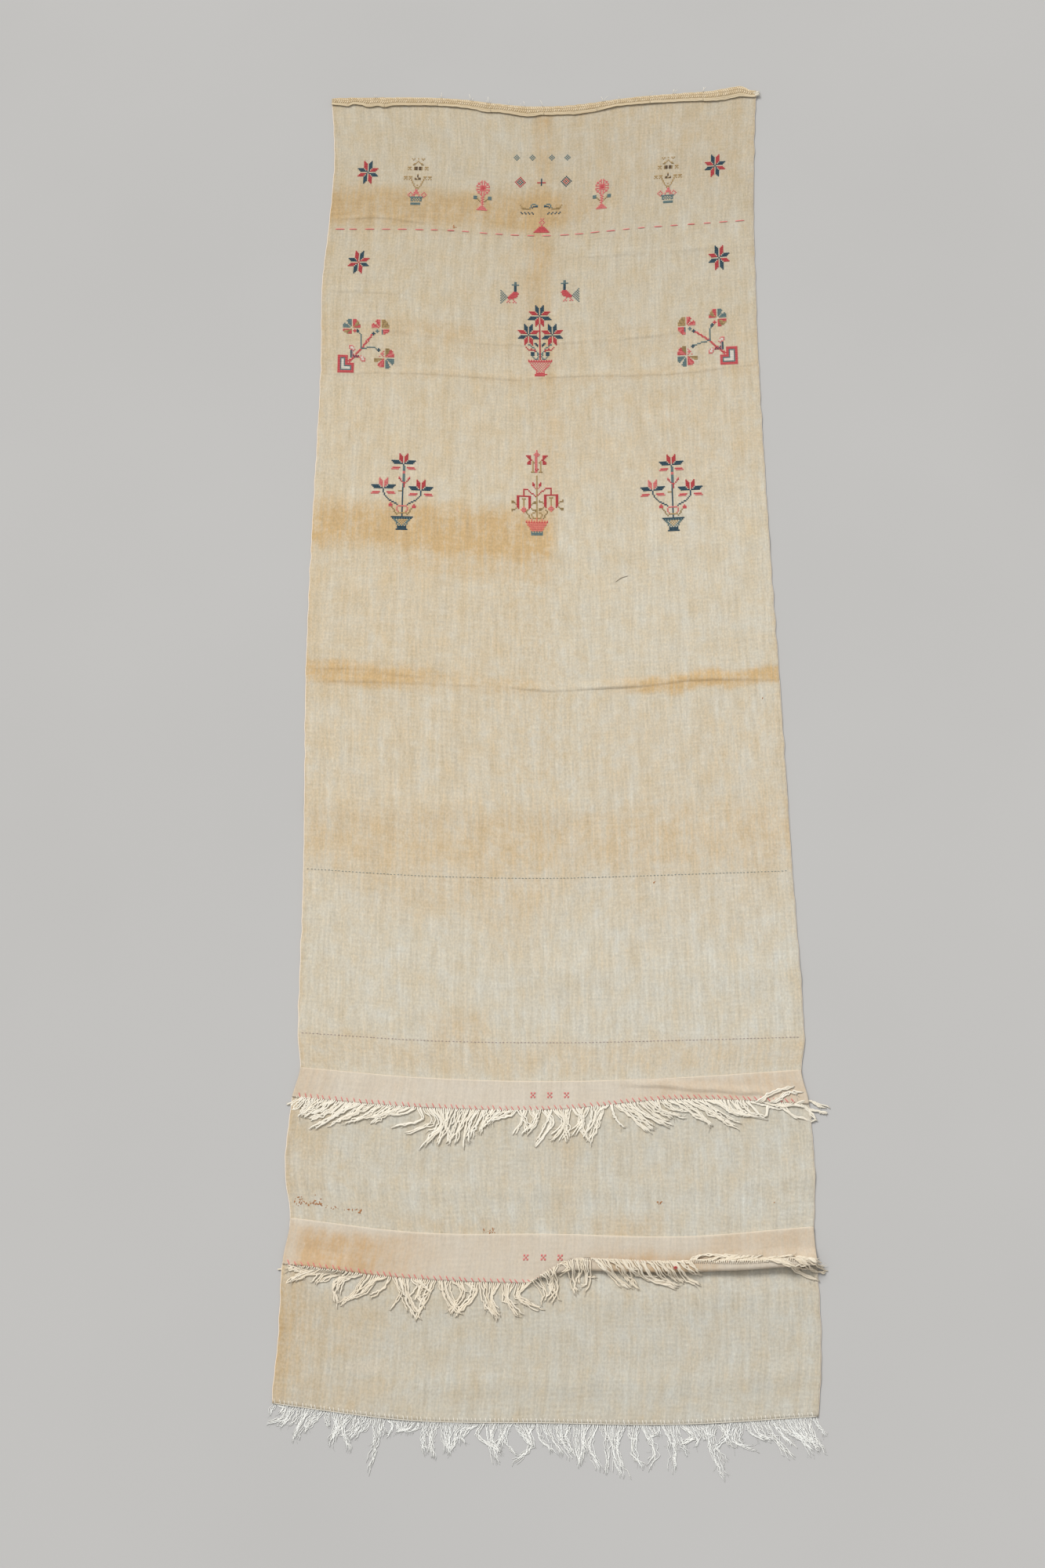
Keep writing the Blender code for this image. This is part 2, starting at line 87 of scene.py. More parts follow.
# Creases: height, width above and below the crest, then side and line of points along them
CREASES = (
    (0.0007, 0.006, 0.0018,
     ((-1.05, 0.506), (-0.78, 0.509), (-0.56, 0.504), (-0.48, 0.496), (-0.30, 0.492))),
    (0.0005, 0.009, 0.0030, ((0.10, 0.468), (0.60, 0.466), (1.05, 0.466))),
    (0.0005, 0.008, 0.0026,
     ((-0.80, 0.377), (-0.50, 0.370), (-0.29, 0.366), (0.15, 0.370), (0.40, 0.369), (0.72, 0.372))),
    (0.0006, 0.007, 0.0018,
     ((-1.05, 0.322), (-0.68, 0.326), (-0.11, 0.328), (0.07, 0.332), (0.58, 0.325), (1.05, 0.332))),
    (0.0005, 0.005, 0.0020, ((-1.05, 0.009), (-0.80, 0.012), (-0.57, 0.008), (-0.40, 0.006))),
    (0.0007, 0.006, 0.0026, ((-1.05, -0.004), (-0.74, 0.000), (-0.44, 0.002), (-0.16, 0.004))),
    (0.0013, 0.009, 0.0020,
     ((-0.20, 0.005), (-0.07, 0.003), (0.03, 0.002), (0.21, 0.003), (0.43, 0.003), (0.62, 0.006),
      (1.05, 0.001))),
    (0.0005, 0.006, 0.0030, ((-1.05, 0.421), (-0.60, 0.419))),
    (0.0008, 0.020, 0.0200, ((-0.50, 0.145), (1.20, 0.142))),
    (0.0010, 0.022, 0.0200, ((-1.20, -0.120), (0.30, -0.112))),
    (0.0010, 0.022, 0.0220, ((-0.30, -0.262), (1.20, -0.268))),
    (0.0007, 0.012, 0.0110, ((-1.20, -0.452), (1.20, -0.448))),
    (0.0009, 0.014, 0.0140, ((-0.60, -0.604), (1.20, -0.600))),
)
CREASE_FADE = 0.16        # how fast a crease runs out at its ends
SHARP = 0.004             # a crease narrower than this below its crest needs small cells
SLACK = 0.0005            # height of the cloth's broad unevenness
EDGE_WOBBLE = 0.0009      # how far the selvedges waver
EDGE_START = 0.95         # side from which the edge wavers

# Heading tape: side, width, and how far it stands over the towel's head
TAPE_SHAPE = (
    (-1.000, 0.0072, 0.0004),
    (-0.967, 0.0086, 0.0012),
    (-0.926, 0.0102, 0.0012),
    (-0.895, 0.0078, 0.0014),
    (-0.863, 0.0086, 0.0012),
    (-0.830, 0.0114, 0.0012),
    (-0.780, 0.0103, 0.0012),
    (-0.750, 0.0119, 0.0012),
    (-0.710, 0.0098, 0.0012),
    (-0.494, 0.0093, 0.0012),
    (-0.333, 0.0098, 0.0014),
    (-0.285, 0.0116, 0.0012),
    (-0.206, 0.0102, 0.0012),
    (-0.069, 0.0124, 0.0012),
    (-0.013, 0.0103, 0.0016),
    (0.107, 0.0106, 0.0012),
    (0.144, 0.0116, 0.0012),
    (0.224, 0.0110, 0.0012),
    (0.344, 0.0084, 0.0014),
    (0.505, 0.0091, 0.0012),
    (0.625, 0.0098, 0.0012),
    (0.705, 0.0106, 0.0014),
    (0.786, 0.0122, 0.0016),
    (0.850, 0.0138, 0.0036),
    (0.890, 0.0132, 0.0050),
    (0.926, 0.0128, 0.0056),
    (0.985, 0.0078, -0.0010),
    (1.000, 0.0060, -0.0024),
)
# Sides at which threads stick out of the tape's upper edge
FRAYS = (-0.80, -0.49, -0.34, -0.26, -0.18, -0.10, -0.01, 0.27, 0.35, 0.50, 0.61, 0.75)
TAPE_LIFT = 0.0005        # how far the tape's lower edge curls up
TAPE_THREADS = 200
# Its slanted threads: first and last share of its width, and lean in sides
TAPE_SLANTS = ((0.04, 0.36, 0.009), (0.36, 0.68, -0.009))
TAPE_RISES = ((0.0, -0.3), (0.3, 0.8), (0.7, 0.8), (1.0, -0.3))
# The threads of its borders: share of its width, and their own width
TAPE_BORDERS = ((0.01, 0.0010), (0.79, 0.0012), (0.89, 0.0013), (0.985, 0.0013))

# First flap: its depth and its soft roll (side, height, distance of the crest from the top)
FLAP_LAP = 0.002
UPPER_DEPTH = (0.0250, 0.0250, 0.0240, 0.0180, 0.0290)
ROLL = (
    (0.22, 0.0000, 0.0020),
    (0.40, 0.0012, 0.0050),
    (0.62, 0.0011, 0.0110),
    (0.78, 0.0011, 0.0160),
    (0.92, 0.0000, 0.0190),
)
ROLL_ABOVE = 0.0070       # width of the roll above and below its crest
ROLL_BELOW = 0.0030

# Second flap: its depth and its turn (side, lift of the edge, length down to the fold)
LOWER_DEPTH = (0.0370, 0.0370, 0.0400, 0.0390, 0.0390)
TURN = (
    (-1.00, 0.0000, 0.0450),
    (-0.90, 0.0024, 0.0450),
    (-0.80, 0.0030, 0.0450),
    (-0.68, 0.0000, 0.0450),
    (-0.24, 0.0000, 0.0450),
    (0.12, 0.0000, 0.0270),
    (0.50, 0.0010, 0.0270),
    (0.80, 0.0028, 0.0290),
    (1.00, 0.0040, 0.0300),
)
TURN_RADIUS = 0.0019      # of the fold where the flap turns up
LIFT_RUN = 0.0160         # length over which the flap's edge lifts

# Fringes: each lock from the left edge on, in millimetres from its roots: how far its middle
# and its tip lie to the right and down, and its number of yarns
UPPER_LOCKS = (
    (-3, 3, -8, 7, 3), (-5, 7, -10, 11, 3), (-5, 9, -10, 17, 3), (-6, 7, -12, 13, 4),
    (-8, 7, -18, 14, 4), (-8, 8, -22, 15, 4), (-9, 9, -25, 16, 5), (-9, 10, -31, 24, 4),
    (-11, 7, -21, 12, 4), (-11, 9, -27, 19, 4), (-11, 8, -28, 15, 4), (-11, 10, -28, 18, 4),
    (-12, 9, -30, 14, 3), (-9, 9, -16, 15, 4), (-6, 5, -25, 11, 4), (-8, 5, -23, 9, 4),
    (-5, 5, -23, 8, 3), (3, 10, -21, 16, 3), (8, 12, -17, 24, 3), (8, 12, -6, 34, 3),
    (5, 15, -9, 33, 3), (2, 14, -11, 24, 2), (0, 15, 6, 25, 3), (-5, 15, -12, 31, 4),
    (-5, 15, -11, 33, 4), (-5, 13, -11, 31, 4), (-5, 11, -10, 32, 4), (-5, 11, -11, 24, 4),
    (-5, 10, -9, 21, 4), (-5, 7, -14, 17, 4), (-6, 4, -16, 12, 4), (-6, 5, -19, 9, 4),
    (5, 10, 9, 21, 3), (-3, 8, -9, 20, 3), (5, 10, 0, 20, 3), (-3, 11, -11, 21, 4),
    (6, 11, -9, 31, 4), (-6, 14, -14, 30, 2), (5, 11, -5, 26, 4), (4, 15, -3, 26, 3),
    (-2, 14, 0, 29, 3), (5, 11, -2, 23, 4), (-3, 14, 2, 29, 3), (-4, 15, 2, 31, 3),
    (-2, 14, -8, 25, 4), (-4, 16, -12, 32, 4), (-6, 4, -14, 15, 2), (3, 11, 9, 20, 2),
    (8, 8, 28, 25, 5), (12, 12, 26, 25, 4), (6, 8, 28, 21, 4), (9, 9, 26, 22, 4),
    (8, 8, 22, 16, 4), (6, 9, 22, 15, 4), (8, 8, 22, 11, 4), (9, 6, 33, 22, 4),
    (12, 8, 28, 23, 4), (11, 7, 37, 22, 4), (14, 10, 37, 27, 4), (9, 7, 28, 20, 4),
    (11, 5, 28, 15, 4), (9, 7, 26, 15, 4), (6, 11, 27, 15, 5), (6, 10, 25, 17, 4),
    (8, 11, 18, 14, 4), (14, 14, 20, 4, 2), (9, 3, 25, 8, 3), (16, -9, 30, -12, 4),
    (12, 4, 28, 2, 3), (14, -8, 26, -8, 4), (13, 12, 30, 17, 4), (15, 4, 26, 16, 4),
    (13, -2, 28, 4, 3), (12, 6, 25, 8, 3),
)
LOWER_LOCKS = (
    (3, 1, 9, 1, 2), (1, 2, -4, 3, 2), (4, 3, 9, 4, 2), (8, 3, -2, 5, 2), (-9, 2, -20, 2, 4),
    (-12, 5, -19, 10, 4), (-17, 5, -28, 11, 4), (-14, 4, -30, 10, 3), (-11, 3, -20, 12, 4),
    (-12, 5, -20, 10, 3), (-12, 9, -10, 29, 4), (-13, 6, -19, 17, 4), (-9, 14, -22, 25, 4),
    (-8, 13, -20, 21, 4), (-8, 4, -20, 15, 4), (-5, 9, -17, 17, 2), (5, 13, -1, 30, 2),
    (5, 18, 12, 33, 4), (2, 13, 11, 32, 3), (5, 6, 0, 18, 3), (9, 11, 5, 14, 2),
    (-4, 12, 0, 23, 4), (-8, 18, -14, 31, 4), (5, 15, 14, 28, 4), (0, 8, 9, 26, 3),
    (8, 6, 12, 11, 2), (3, 10, -9, 26, 4), (6, 9, -9, 25, 4), (-2, 11, -17, 29, 3),
    (3, 17, 14, 31, 4), (0, 14, 6, 32, 4), (-6, 12, -2, 26, 3), (2, 13, 11, 27, 4),
    (-5, 14, 2, 20, 3), (-2, 11, 18, 22, 4), (-8, 10, 0, 18, 4), (8, 10, 6, 22, 4),
    (6, 8, 3, 18, 3), (6, 13, 0, 27, 3), (-3, 16, 2, 26, 3), (5, 4, 0, 9, 3),
    (3, 19, 6, 28, 4), (3, 10, 0, 19, 3), (3, 14, 9, 13, 2), (0, 19, -6, 24, 3),
    (8, 8, 28, 24, 4), (10, 14, 18, 22, 4), (10, 10, 21, 23, 4), (9, 10, 14, 21, 3),
    (9, 10, 30, 15, 4), (9, 13, 32, 19, 4), (9, 13, 29, 22, 4), (10, 12, 22, 20, 4),
    (9, 10, 18, 16, 3), (9, 11, 17, 18, 4), (9, 10, 22, 19, 4), (8, 7, 18, 10, 3),
    (8, 5, 12, 10, 3), (9, -6, 38, -4, 4), (20, -2, 33, -6, 4), (16, -6, 34, -1, 4),
    (6, -1, 15, -5, 3), (9, -3, 24, -6, 4), (9, -1, 25, -6, 4), (9, -2, 42, -5, 4),
    (15, -3, 34, -6, 4), (10, -1, 26, -5, 3), (9, -1, 22, -3, 3), (15, 4, 33, 6, 5),
    (14, 8, 31, 15, 5), (13, -2, 26, 2, 3), (12, 7, 25, 10, 4), (9, 4, 19, 8, 3),
    (6, 3, 13, 5, 3),
)
FOOT_LOCKS = (
    (-1, 3, -4, 8, 2), (3, 3, 1, 7, 3), (-1, 9, -12, 14, 3), (-3, 10, -10, 16, 2),
    (-4, 9, -11, 16, 3), (-4, 11, -6, 16, 3), (-4, 11, -10, 25, 3), (-6, 10, -13, 23, 3),
    (-6, 11, -10, 19, 3), (-6, 8, -13, 14, 3), (0, 7, 1, 12, 3), (3, 10, -1, 26, 3),
    (-1, 14, -7, 22, 3), (-3, 9, -9, 19, 3), (-5, 10, 1, 30, 3), (-3, 11, -9, 16, 2),
    (-4, 11, -7, 17, 3), (-4, 8, -7, 18, 3), (-3, 8, -7, 12, 3), (0, 16, -1, 22, 2),
    (-1, 15, -7, 41, 3), (-1, 6, -1, 13, 2), (3, 6, -1, 14, 3), (3, 5, 9, 10, 3),
    (0, 7, 7, 10, 3), (-1, 6, -6, 9, 3), (-3, 6, -9, 8, 4), (-1, 5, -7, 8, 3),
    (-2, 16, 2, 26, 4), (-1, 12, 0, 29, 3), (-4, 11, -7, 24, 3), (1, 13, 4, 23, 3),
    (0, 13, 1, 23, 3), (-3, 12, -5, 25, 4), (-3, 10, -9, 22, 3), (-5, 10, -1, 16, 3),
    (-4, 6, -9, 12, 3), (-4, 3, -10, 5, 2), (-4, 9, 14, 23, 3), (1, 13, 7, 31, 4),
    (-3, 12, 4, 23, 3), (0, 10, -3, 18, 3), (-1, 13, 7, 24, 2), (-4, 9, -10, 21, 3),
    (3, 7, 12, 17, 4), (6, 17, -7, 30, 4), (-3, 9, -1, 18, 4), (1, 10, 10, 21, 3),
    (3, 8, 7, 13, 3), (1, 10, 9, 24, 3), (3, 12, 10, 18, 3), (1, 13, 9, 27, 3),
    (1, 12, 7, 27, 3), (-4, 9, -6, 13, 2), (0, 16, 2, 32, 4), (0, 16, -3, 33, 3),
    (-4, 11, -1, 22, 3), (-4, 16, 3, 34, 4), (3, 8, 9, 14, 3), (1, 10, -1, 39, 3),
    (0, 18, 7, 40, 4), (-2, 18, 1, 33, 2), (-4, 10, -7, 19, 3), (1, 10, 6, 13, 3),
    (-2, 22, 4, 35, 4), (9, 22, 4, 33, 4), (3, 8, -1, 10, 3), (0, 4, 1, 8, 4),
    (4, 9, 7, 19, 4), (2, 15, 1, 37, 4), (3, 15, 8, 24, 2), (8, 10, 0, 16, 3),
    (4, 9, -3, 16, 3), (4, 9, 3, 18, 3), (3, 7, 7, 15, 3), (1, 7, 4, 10, 3),
    (0, 17, 12, 43, 3), (-1, 16, 8, 35, 2), (4, 7, 7, 10, 3), (1, 11, 6, 19, 3),
    (-4, 12, -13, 22, 3), (-2, 14, 15, 23, 3), (-3, 12, -1, 19, 3), (3, 9, 13, 15, 3),
    (4, 10, 16, 14, 3), (4, 9, 10, 17, 3), (6, 11, 19, 29, 4), (7, 11, 18, 22, 4),
    (6, 10, 25, 18, 4), (6, 11, 21, 28, 4), (6, 12, 18, 23, 4), (4, 11, 12, 25, 4),
    (3, 13, 11, 28, 3), (3, 7, 7, 14, 3),
)
YARN_STEPS = 13
YARN_SIDES = 5
ROOT_IN = 0.0015          # how deep a yarn starts inside the edge
ROOT_OUT = 0.0010         # how far it runs straight on from there
LONG_LOCK = 0.032         # length that adds a whole stray to a lock's sway
LOCK_CLOSE = 0.35         # how far a lock's yarns draw together, as a share of their pitch
DRAPE_ROUNDS = 6
DRAPE_SAG = 0.0003        # how far a yarn sags from point to point
REST = 0.0012             # height at which yarns lie on the panels

# Cross-stitch: two threads of the linen wide and high
CELL_WIDE = 0.00122
CELL_HIGH = 0.00145
WARP_PITCH = CELL_WIDE / 2
WEFT_PITCH = CELL_HIGH / 2
THREAD_WIDE = 0.00104
THREAD_HIGH = 0.00030
STITCH_ARCH = 0.00026     # how far a stitch stands up in its middle
STITCH_SINK = 0.00012     # how deep its ends go in
# Arches: shares of a stitch's way, each with its height as a share of STITCH_ARCH
CROSS_RISES = ((-1.0, 0.0), (-0.44, 0.8), (0.44, 0.8), (1.0, 0.0))
RUNNING_RISES = ((0.0, 0.0), (0.2, 1.0), (0.5, 1.1), (0.8, 1.0), (1.0, 0.0))
# Running stitches: thread, weft line, first and last side, pitch, length, width
RUNNING = (
    ("pink", 0.4945, -0.975, 0.985, 0.0155, 0.0086, 0.0015),
    ("slate", -0.1775, -0.985, 0.985, 0.0030, 0.0015, 0.00050),
    ("mauve", -0.3245, -0.985, 0.985, 0.0030, 0.0015, 0.00050),
)
# Stitches over the flaps' edges: first and last side, pitch, slant, depth and width
WHIP_ENDS = (-0.98, 0.96)
WHIP_PITCH = 0.0050
WHIP_SLANT = 0.0022
WHIP_DEPTH = 0.0035
WHIP_WIDE = 0.00100
WHIP_RISES = ((0.0, -0.2), (0.25, 0.8), (0.6, 0.9), (0.9, 0.5))
# Stitches over the foot: how many, slant in sides, depth and width
FOOT_STITCHES = 118
FOOT_SLANT = 0.005
FOOT_DEPTH = 0.0034
FOOT_WIDE = 0.0008
FOOT_RISES = ((0.0, -0.3), (0.3, 0.9), (0.7, 0.9), (0.95, 0.3))
EDGE_WIDE = 0.0008        # width of the selvedges' threads
EDGE_STEP = 0.0035        # from point to point along them

# Threads: colour, its other shade, and a slot name
THREADS = {
    "red": ((0.56, 0.062, 0.068), (0.45, 0.042, 0.050), "thread_red"),
    "rose": ((0.66, 0.105, 0.110), (0.56, 0.075, 0.085), "thread_red"),
    "coral": ((0.78, 0.270, 0.160), (0.72, 0.200, 0.130), "thread_red"),
    "deep_blue": ((0.020, 0.054, 0.078), (0.036, 0.090, 0.124), "thread_blue"),
    "pink": ((0.68, 0.155, 0.150), (0.72, 0.240, 0.215), "thread_red"),
    "slate": ((0.115, 0.180, 0.178), (0.165, 0.240, 0.235), "thread_blue"),
    "olive": ((0.30, 0.200, 0.075), (0.37, 0.260, 0.120), "thread_light"),
    "tan": ((0.50, 0.35, 0.16), (0.42, 0.27, 0.11), "thread_light"),
    "brown": ((0.10, 0.056, 0.030), (0.15, 0.090, 0.045), "thread_light"),
    "light": ((0.80, 0.76, 0.68), (0.72, 0.66, 0.55), "thread_light"),
    "mauve": ((0.32, 0.22, 0.23), (0.40, 0.29, 0.29), "thread_red"),
    "rust": ((0.34, 0.13, 0.045), (0.46, 0.22, 0.085), "linen"),
}
WASHED_OUT = (0.74, 0.64, 0.50)
COLD_GREY = (0.62, 0.61, 0.56)
# Tones of the linen by weft line: from and to a line, and the tone below and above it
TONES = (
    (0.10, 0.62, 1.0, 0.85),
    (-0.395, -0.385, 0.945, 1.0),
    (-0.487, -0.480, 1.026, 1.0),
    (-0.545, -0.525, 0.930, 1.0),
)

# Stains: first and last side, first and last line, softness across, softness along, strength
STAINS = (
    (-1.30, 0.20, 0.500, 0.543, 0.30, 0.014, 0.88),
    (-1.30, 0.045, 0.139, 0.184, 0.024, 0.013, 0.96),
    (-0.62, 0.045, 0.112, 0.148, 0.035, 0.010, 0.34),
    (-1.30, 0.06, -0.180, 0.145, 0.05, 0.030, 0.14),
    (-1.30, 1.30, -0.190, 0.500, 0.20, 0.040, 0.04),
    (-1.30, -0.50, -0.004, 0.016, 0.16, 0.007, 0.86),
    (-0.50, 0.02, -0.004, 0.012, 0.10, 0.005, 0.24),
    (0.34, 1.30, -0.003, 0.012, 0.16, 0.005, 0.98),
    (0.15, 1.30, -0.160, -0.020, 0.20, 0.040, 0.13),
    (0.15, 1.30, 0.215, 0.320, 0.20, 0.030, 0.05),
    (-0.050, 0.045, 0.395, 0.660, 0.030, 0.030, 0.46),
    (-0.16, 0.10, 0.395, 0.560, 0.080, 0.030, 0.16),
    (0.00, 0.08, 0.170, 0.400, 0.040, 0.030, 0.26),
    (0.10, 1.30, 0.530, 0.660, 0.200, 0.030, 0.20),
    (-1.30, 1.30, 0.210, 0.320, 0.200, 0.030, 0.09),
    (-0.05, 0.05, 0.625, 0.655, 0.03, 0.010, 0.25),
    (-0.04, 0.08, 0.455, 0.480, 0.05, 0.012, 0.22),
    (-1.30, 1.30, 0.322, 0.334, 0.20, 0.005, 0.22),
    (-1.30, 1.30, 0.345, 0.385, 0.20, 0.012, 0.16),
    (-0.70, -0.30, 0.368, 0.386, 0.10, 0.006, 0.22),
    (-1.30, 1.30, -0.174, -0.116, 0.20, 0.020, 0.30),
    (-0.75, 0.05, -0.215, -0.175, 0.14, 0.018, 0.28),
    (-0.25, 0.00, -0.245, -0.205, 0.08, 0.016, 0.16),
    (0.25, 0.95, -0.240, -0.180, 0.12, 0.020, 0.12),
    (-0.48, -0.26, -0.325, -0.300, 0.05, 0.008, 0.36),
    (-1.30, 1.30, -0.354, -0.326, 0.20, 0.008, 0.26),
    (-1.30, -0.86, -0.470, -0.360, 0.08, 0.020, 0.24),
    (0.02, 0.10, -0.480, -0.385, 0.04, 0.020, 0.20),
    (-0.60, -0.15, -0.486, -0.474, 0.14, 0.005, 0.22),
    (0.16, 0.42, -0.488, -0.468, 0.08, 0.006, 0.34),
    (-1.30, -0.90, -0.595, -0.490, 0.08, 0.020, 0.42),
    (-1.30, -0.90, -0.640, -0.595, 0.08, 0.012, 0.24),
    (-1.30, -0.60, -0.640, -0.545, 0.12, 0.020, 0.20),
    (-0.76, -0.60, -0.602, -0.590, 0.04, 0.004, -0.60),
)
EDGE_STAIN = 0.26         # strength of the stain along the selvedges
EDGE_STAIN_START = 0.972
FLAP_STAINS = (
    (-1.10, -0.50, -0.530, -0.490, 0.08, 0.005, 0.44),
    (-0.96, -0.66, -0.528, -0.494, 0.05, 0.006, 0.58),
    (0.18, 0.60, -0.530, -0.499, 0.10, 0.008, 0.70),
    (0.60, 1.20, -0.515, -0.485, 0.10, 0.006, 0.30),
    (-0.60, 1.20, -0.530, -0.480, 0.20, 0.006, 0.07),
    (0.34, 0.84, -0.378, -0.358, 0.14, 0.004, 0.34),
    (0.80, 1.20, -0.390, -0.352, 0.08, 0.006, 0.30),
    (-1.10, -0.88, -0.390, -0.352, 0.06, 0.006, 0.28),
)
STAIN_STRAY = (0.022, 0.0055)     # how far the stains' edges stray across and along
# Rust specks: side, line, how many, reach across, reach along
SPECKS = (
    (-0.925, -0.4700, 44, 0.055, 0.0042),
    (-0.790, -0.4722, 18, 0.070, 0.0014),
    (-0.240, -0.4830, 11, 0.022, 0.0018),
    (0.412, -0.4600, 6, 0.010, 0.0007),
    (0.293, -0.4885, 4, 0.006, 0.0008),
    (0.846, -0.4643, 1, 0.002, 0.0005),
    (-0.409, 0.4993, 9, 0.007, 0.0024),
    (0.870, -0.0150, 1, 0.001, 0.0004),
    (0.925, -0.0165, 1, 0.001, 0.0004),
    (0.435, -0.1840, 2, 0.003, 0.0006),
)
# Side and line of points along a loose fibre; side of a knot, and its distance down the flap
LOOSE_FIBRE = ((0.323, 0.1074), (0.335, 0.1092), (0.350, 0.1111), (0.379, 0.1128))
RED_KNOT = (0.468, 0.0258)


def spline(knots, values, at):
    """Reads a smooth curve that passes through the values at the rising knots."""
    last = len(knots) - 1
    i = min(max(bisect_right(knots, at) - 1, 0), last - 1)

    def slope(j):
        a, b = max(j - 1, 0), min(j + 1, last)
        return (values[b] - values[a]) / (knots[b] - knots[a])

    step = knots[i + 1] - knots[i]
    t = min(max((at - knots[i]) / step, 0.0), 1.0)
    rise = values[i + 1] - values[i]
    start = t * (1 - t) ** 2 * slope(i) * step
    end = t * t * (t - 1) * slope(i + 1) * step
    return values[i] + rise * t * t * (3 - 2 * t) + start + end


def eased(table, column, at):
    """Reads a column of a table, easing from row to row without overshoot."""
    knots = [row[0] for row in table]
    i = min(max(bisect_right(knots, at) - 1, 0), len(knots) - 2)
    share = smooth(at, knots[i], knots[i + 1])
    return table[i][column] * (1 - share) + table[i + 1][column] * share


def smooth(value, low, high):
    """Rises softly from 0 at low to 1 at high."""
    t = min(max((value - low) / (high - low), 0.0), 1.0)
    return t * t * (3 - 2 * t)


def evenly(first, last, count):
    """The values from first to last in a number of equal steps."""
    return [first + (last - first) * k / count for k in range(count + 1)]


@lru_cache(maxsize=None)
def weft(line):
    """The seven values of the weft table on the line that has this y in the middle."""
    rows = WEFT[::-1]
    knots = [row[2] for row in rows]
    return tuple(spline(knots, [row[k] for row in rows], line) for k in range(7))


def ground(side, line):
    """The point of the towel's plan at a side on a weft line."""
    row = weft(line)
    return row[5] + (row[6] - row[5]) * (side + 1) / 2, spline(SIDES, row[:5], side)


def side_at(x, line):
    """The side that has this x on a weft line."""
    row = weft(line)
    return 2 * (x - row[5]) / (row[6] - row[5]) - 1


def line_at(x, y):
    """The weft line that passes through a point of the plan."""
    line = y
    for _ in range(4):
        line += y - ground(side_at(x, line), line)[1]
    return line


def ridge(distance, above, below):
    """A soft ridge: 1 on its crest, and 0 at its widths above and below it."""
    half = above if distance > 0 else below
    return 1 - smooth(abs(distance), 0.0, half)


def crease_height(side, line):
    """How far the creases lift the panels: gently from above and often sharply below."""
    lift = 0.0
    for height, above, below, points in CREASES:
        distance = line - eased(points, 1, side)
        if -2 * below < distance < 1.2 * above:
            distance += 0.0007 * noise.noise(Vector((side * 16, points[0][1] * 50, 3.0)))
            inside = min(side - points[0][0], points[-1][0] - side) / CREASE_FADE
            uneven = 0.75 + 0.6 * noise.noise(Vector((side * 5, points[0][1] * 90, 9.0)))
            lift += height * uneven * min(max(inside, 0.0), 1.0) * ridge(distance, above, below)
    return lift


def slack(side, line):
    """The broad, shallow unevenness of linen that lies loose."""
    broad = noise.noise(Vector((side * 2.6, line * 11, 0.7)))
    small = noise.noise(Vector((side * 9, line * 34, 5.2)))
    return SLACK * (0.5 + 0.5 * broad + 0.25 * small) * 0.9


def panel_top(side, line):
    """A point of the panels' face."""
    x, y = ground(side, line)
    edge = smooth(abs(side), EDGE_START, 1.0)
    x += EDGE_WOBBLE * edge * noise.noise(Vector((line * 75, side, 2.0)))
    z = PANEL_UNDER + LINEN + crease_height(side, line) + max(slack(side, line), 0.0)
    return Vector((x, y, z))


def upper_flap_point(side, along):
    """Underside of the first flap, at a distance along the cloth from its top edge."""
    top = ground(side, FIRST_JOIN)[1]
    x = ground(side, FIRST_JOIN - along)[0]
    crest = eased(ROLL, 2, side)
    roll = eased(ROLL, 1, side) * ridge(crest - along, ROLL_ABOVE, ROLL_BELOW)
    loose = 0.0006 * max(noise.noise(Vector((side * 7, along * 60, 8.0))), 0.0)
    return Vector((x, top + FLAP_LAP - along, FLAP_UNDER + roll + loose))


def turn_angle(side, along):
    """How far the second flap has turned up by a distance along its cloth."""
    bent = max(along - eased(TURN, 2, side), 0.0)
    return min(bent / TURN_RADIUS, math.pi)


def lower_flap_point(side, along):
    """Underside of the second flap: flat, then lifting, then turned up and back."""
    top = ground(side, SECOND_JOIN)[1] + FLAP_LAP
    lift, fold = eased(TURN, 1, side), eased(TURN, 2, side)
    before = min(along, fold)
    angle = turn_angle(side, along)
    after = max(along - fold, 0.0) - angle * TURN_RADIUS
    depth = min(fold, spline(SIDES, LOWER_DEPTH, side))
    y = top - before - TURN_RADIUS * math.sin(angle) - after * math.cos(angle)
    loose = 0.0006 * max(noise.noise(Vector((side * 6, along * 55, 4.0))), 0.0)
    z = FLAP_UNDER + lift * (1 - smooth(depth - before, 0.0, LIFT_RUN)) + loose
    z += TURN_RADIUS * (1 - math.cos(angle)) + after * math.sin(angle)
    x = ground(side, SECOND_JOIN + y - top)[0]
    return Vector((x, y, z))


def flap_face(point_at, side, along, out=LINEN):
    """A point above a flap's underside, on the side that it was stitched from."""
    here = point_at(side, along)
    step = 0.0004
    down = point_at(side, along + step) - here
    right = point_at(side + 0.01, along) - here
    normal = down.cross(right).normalized()
    return here + normal * out


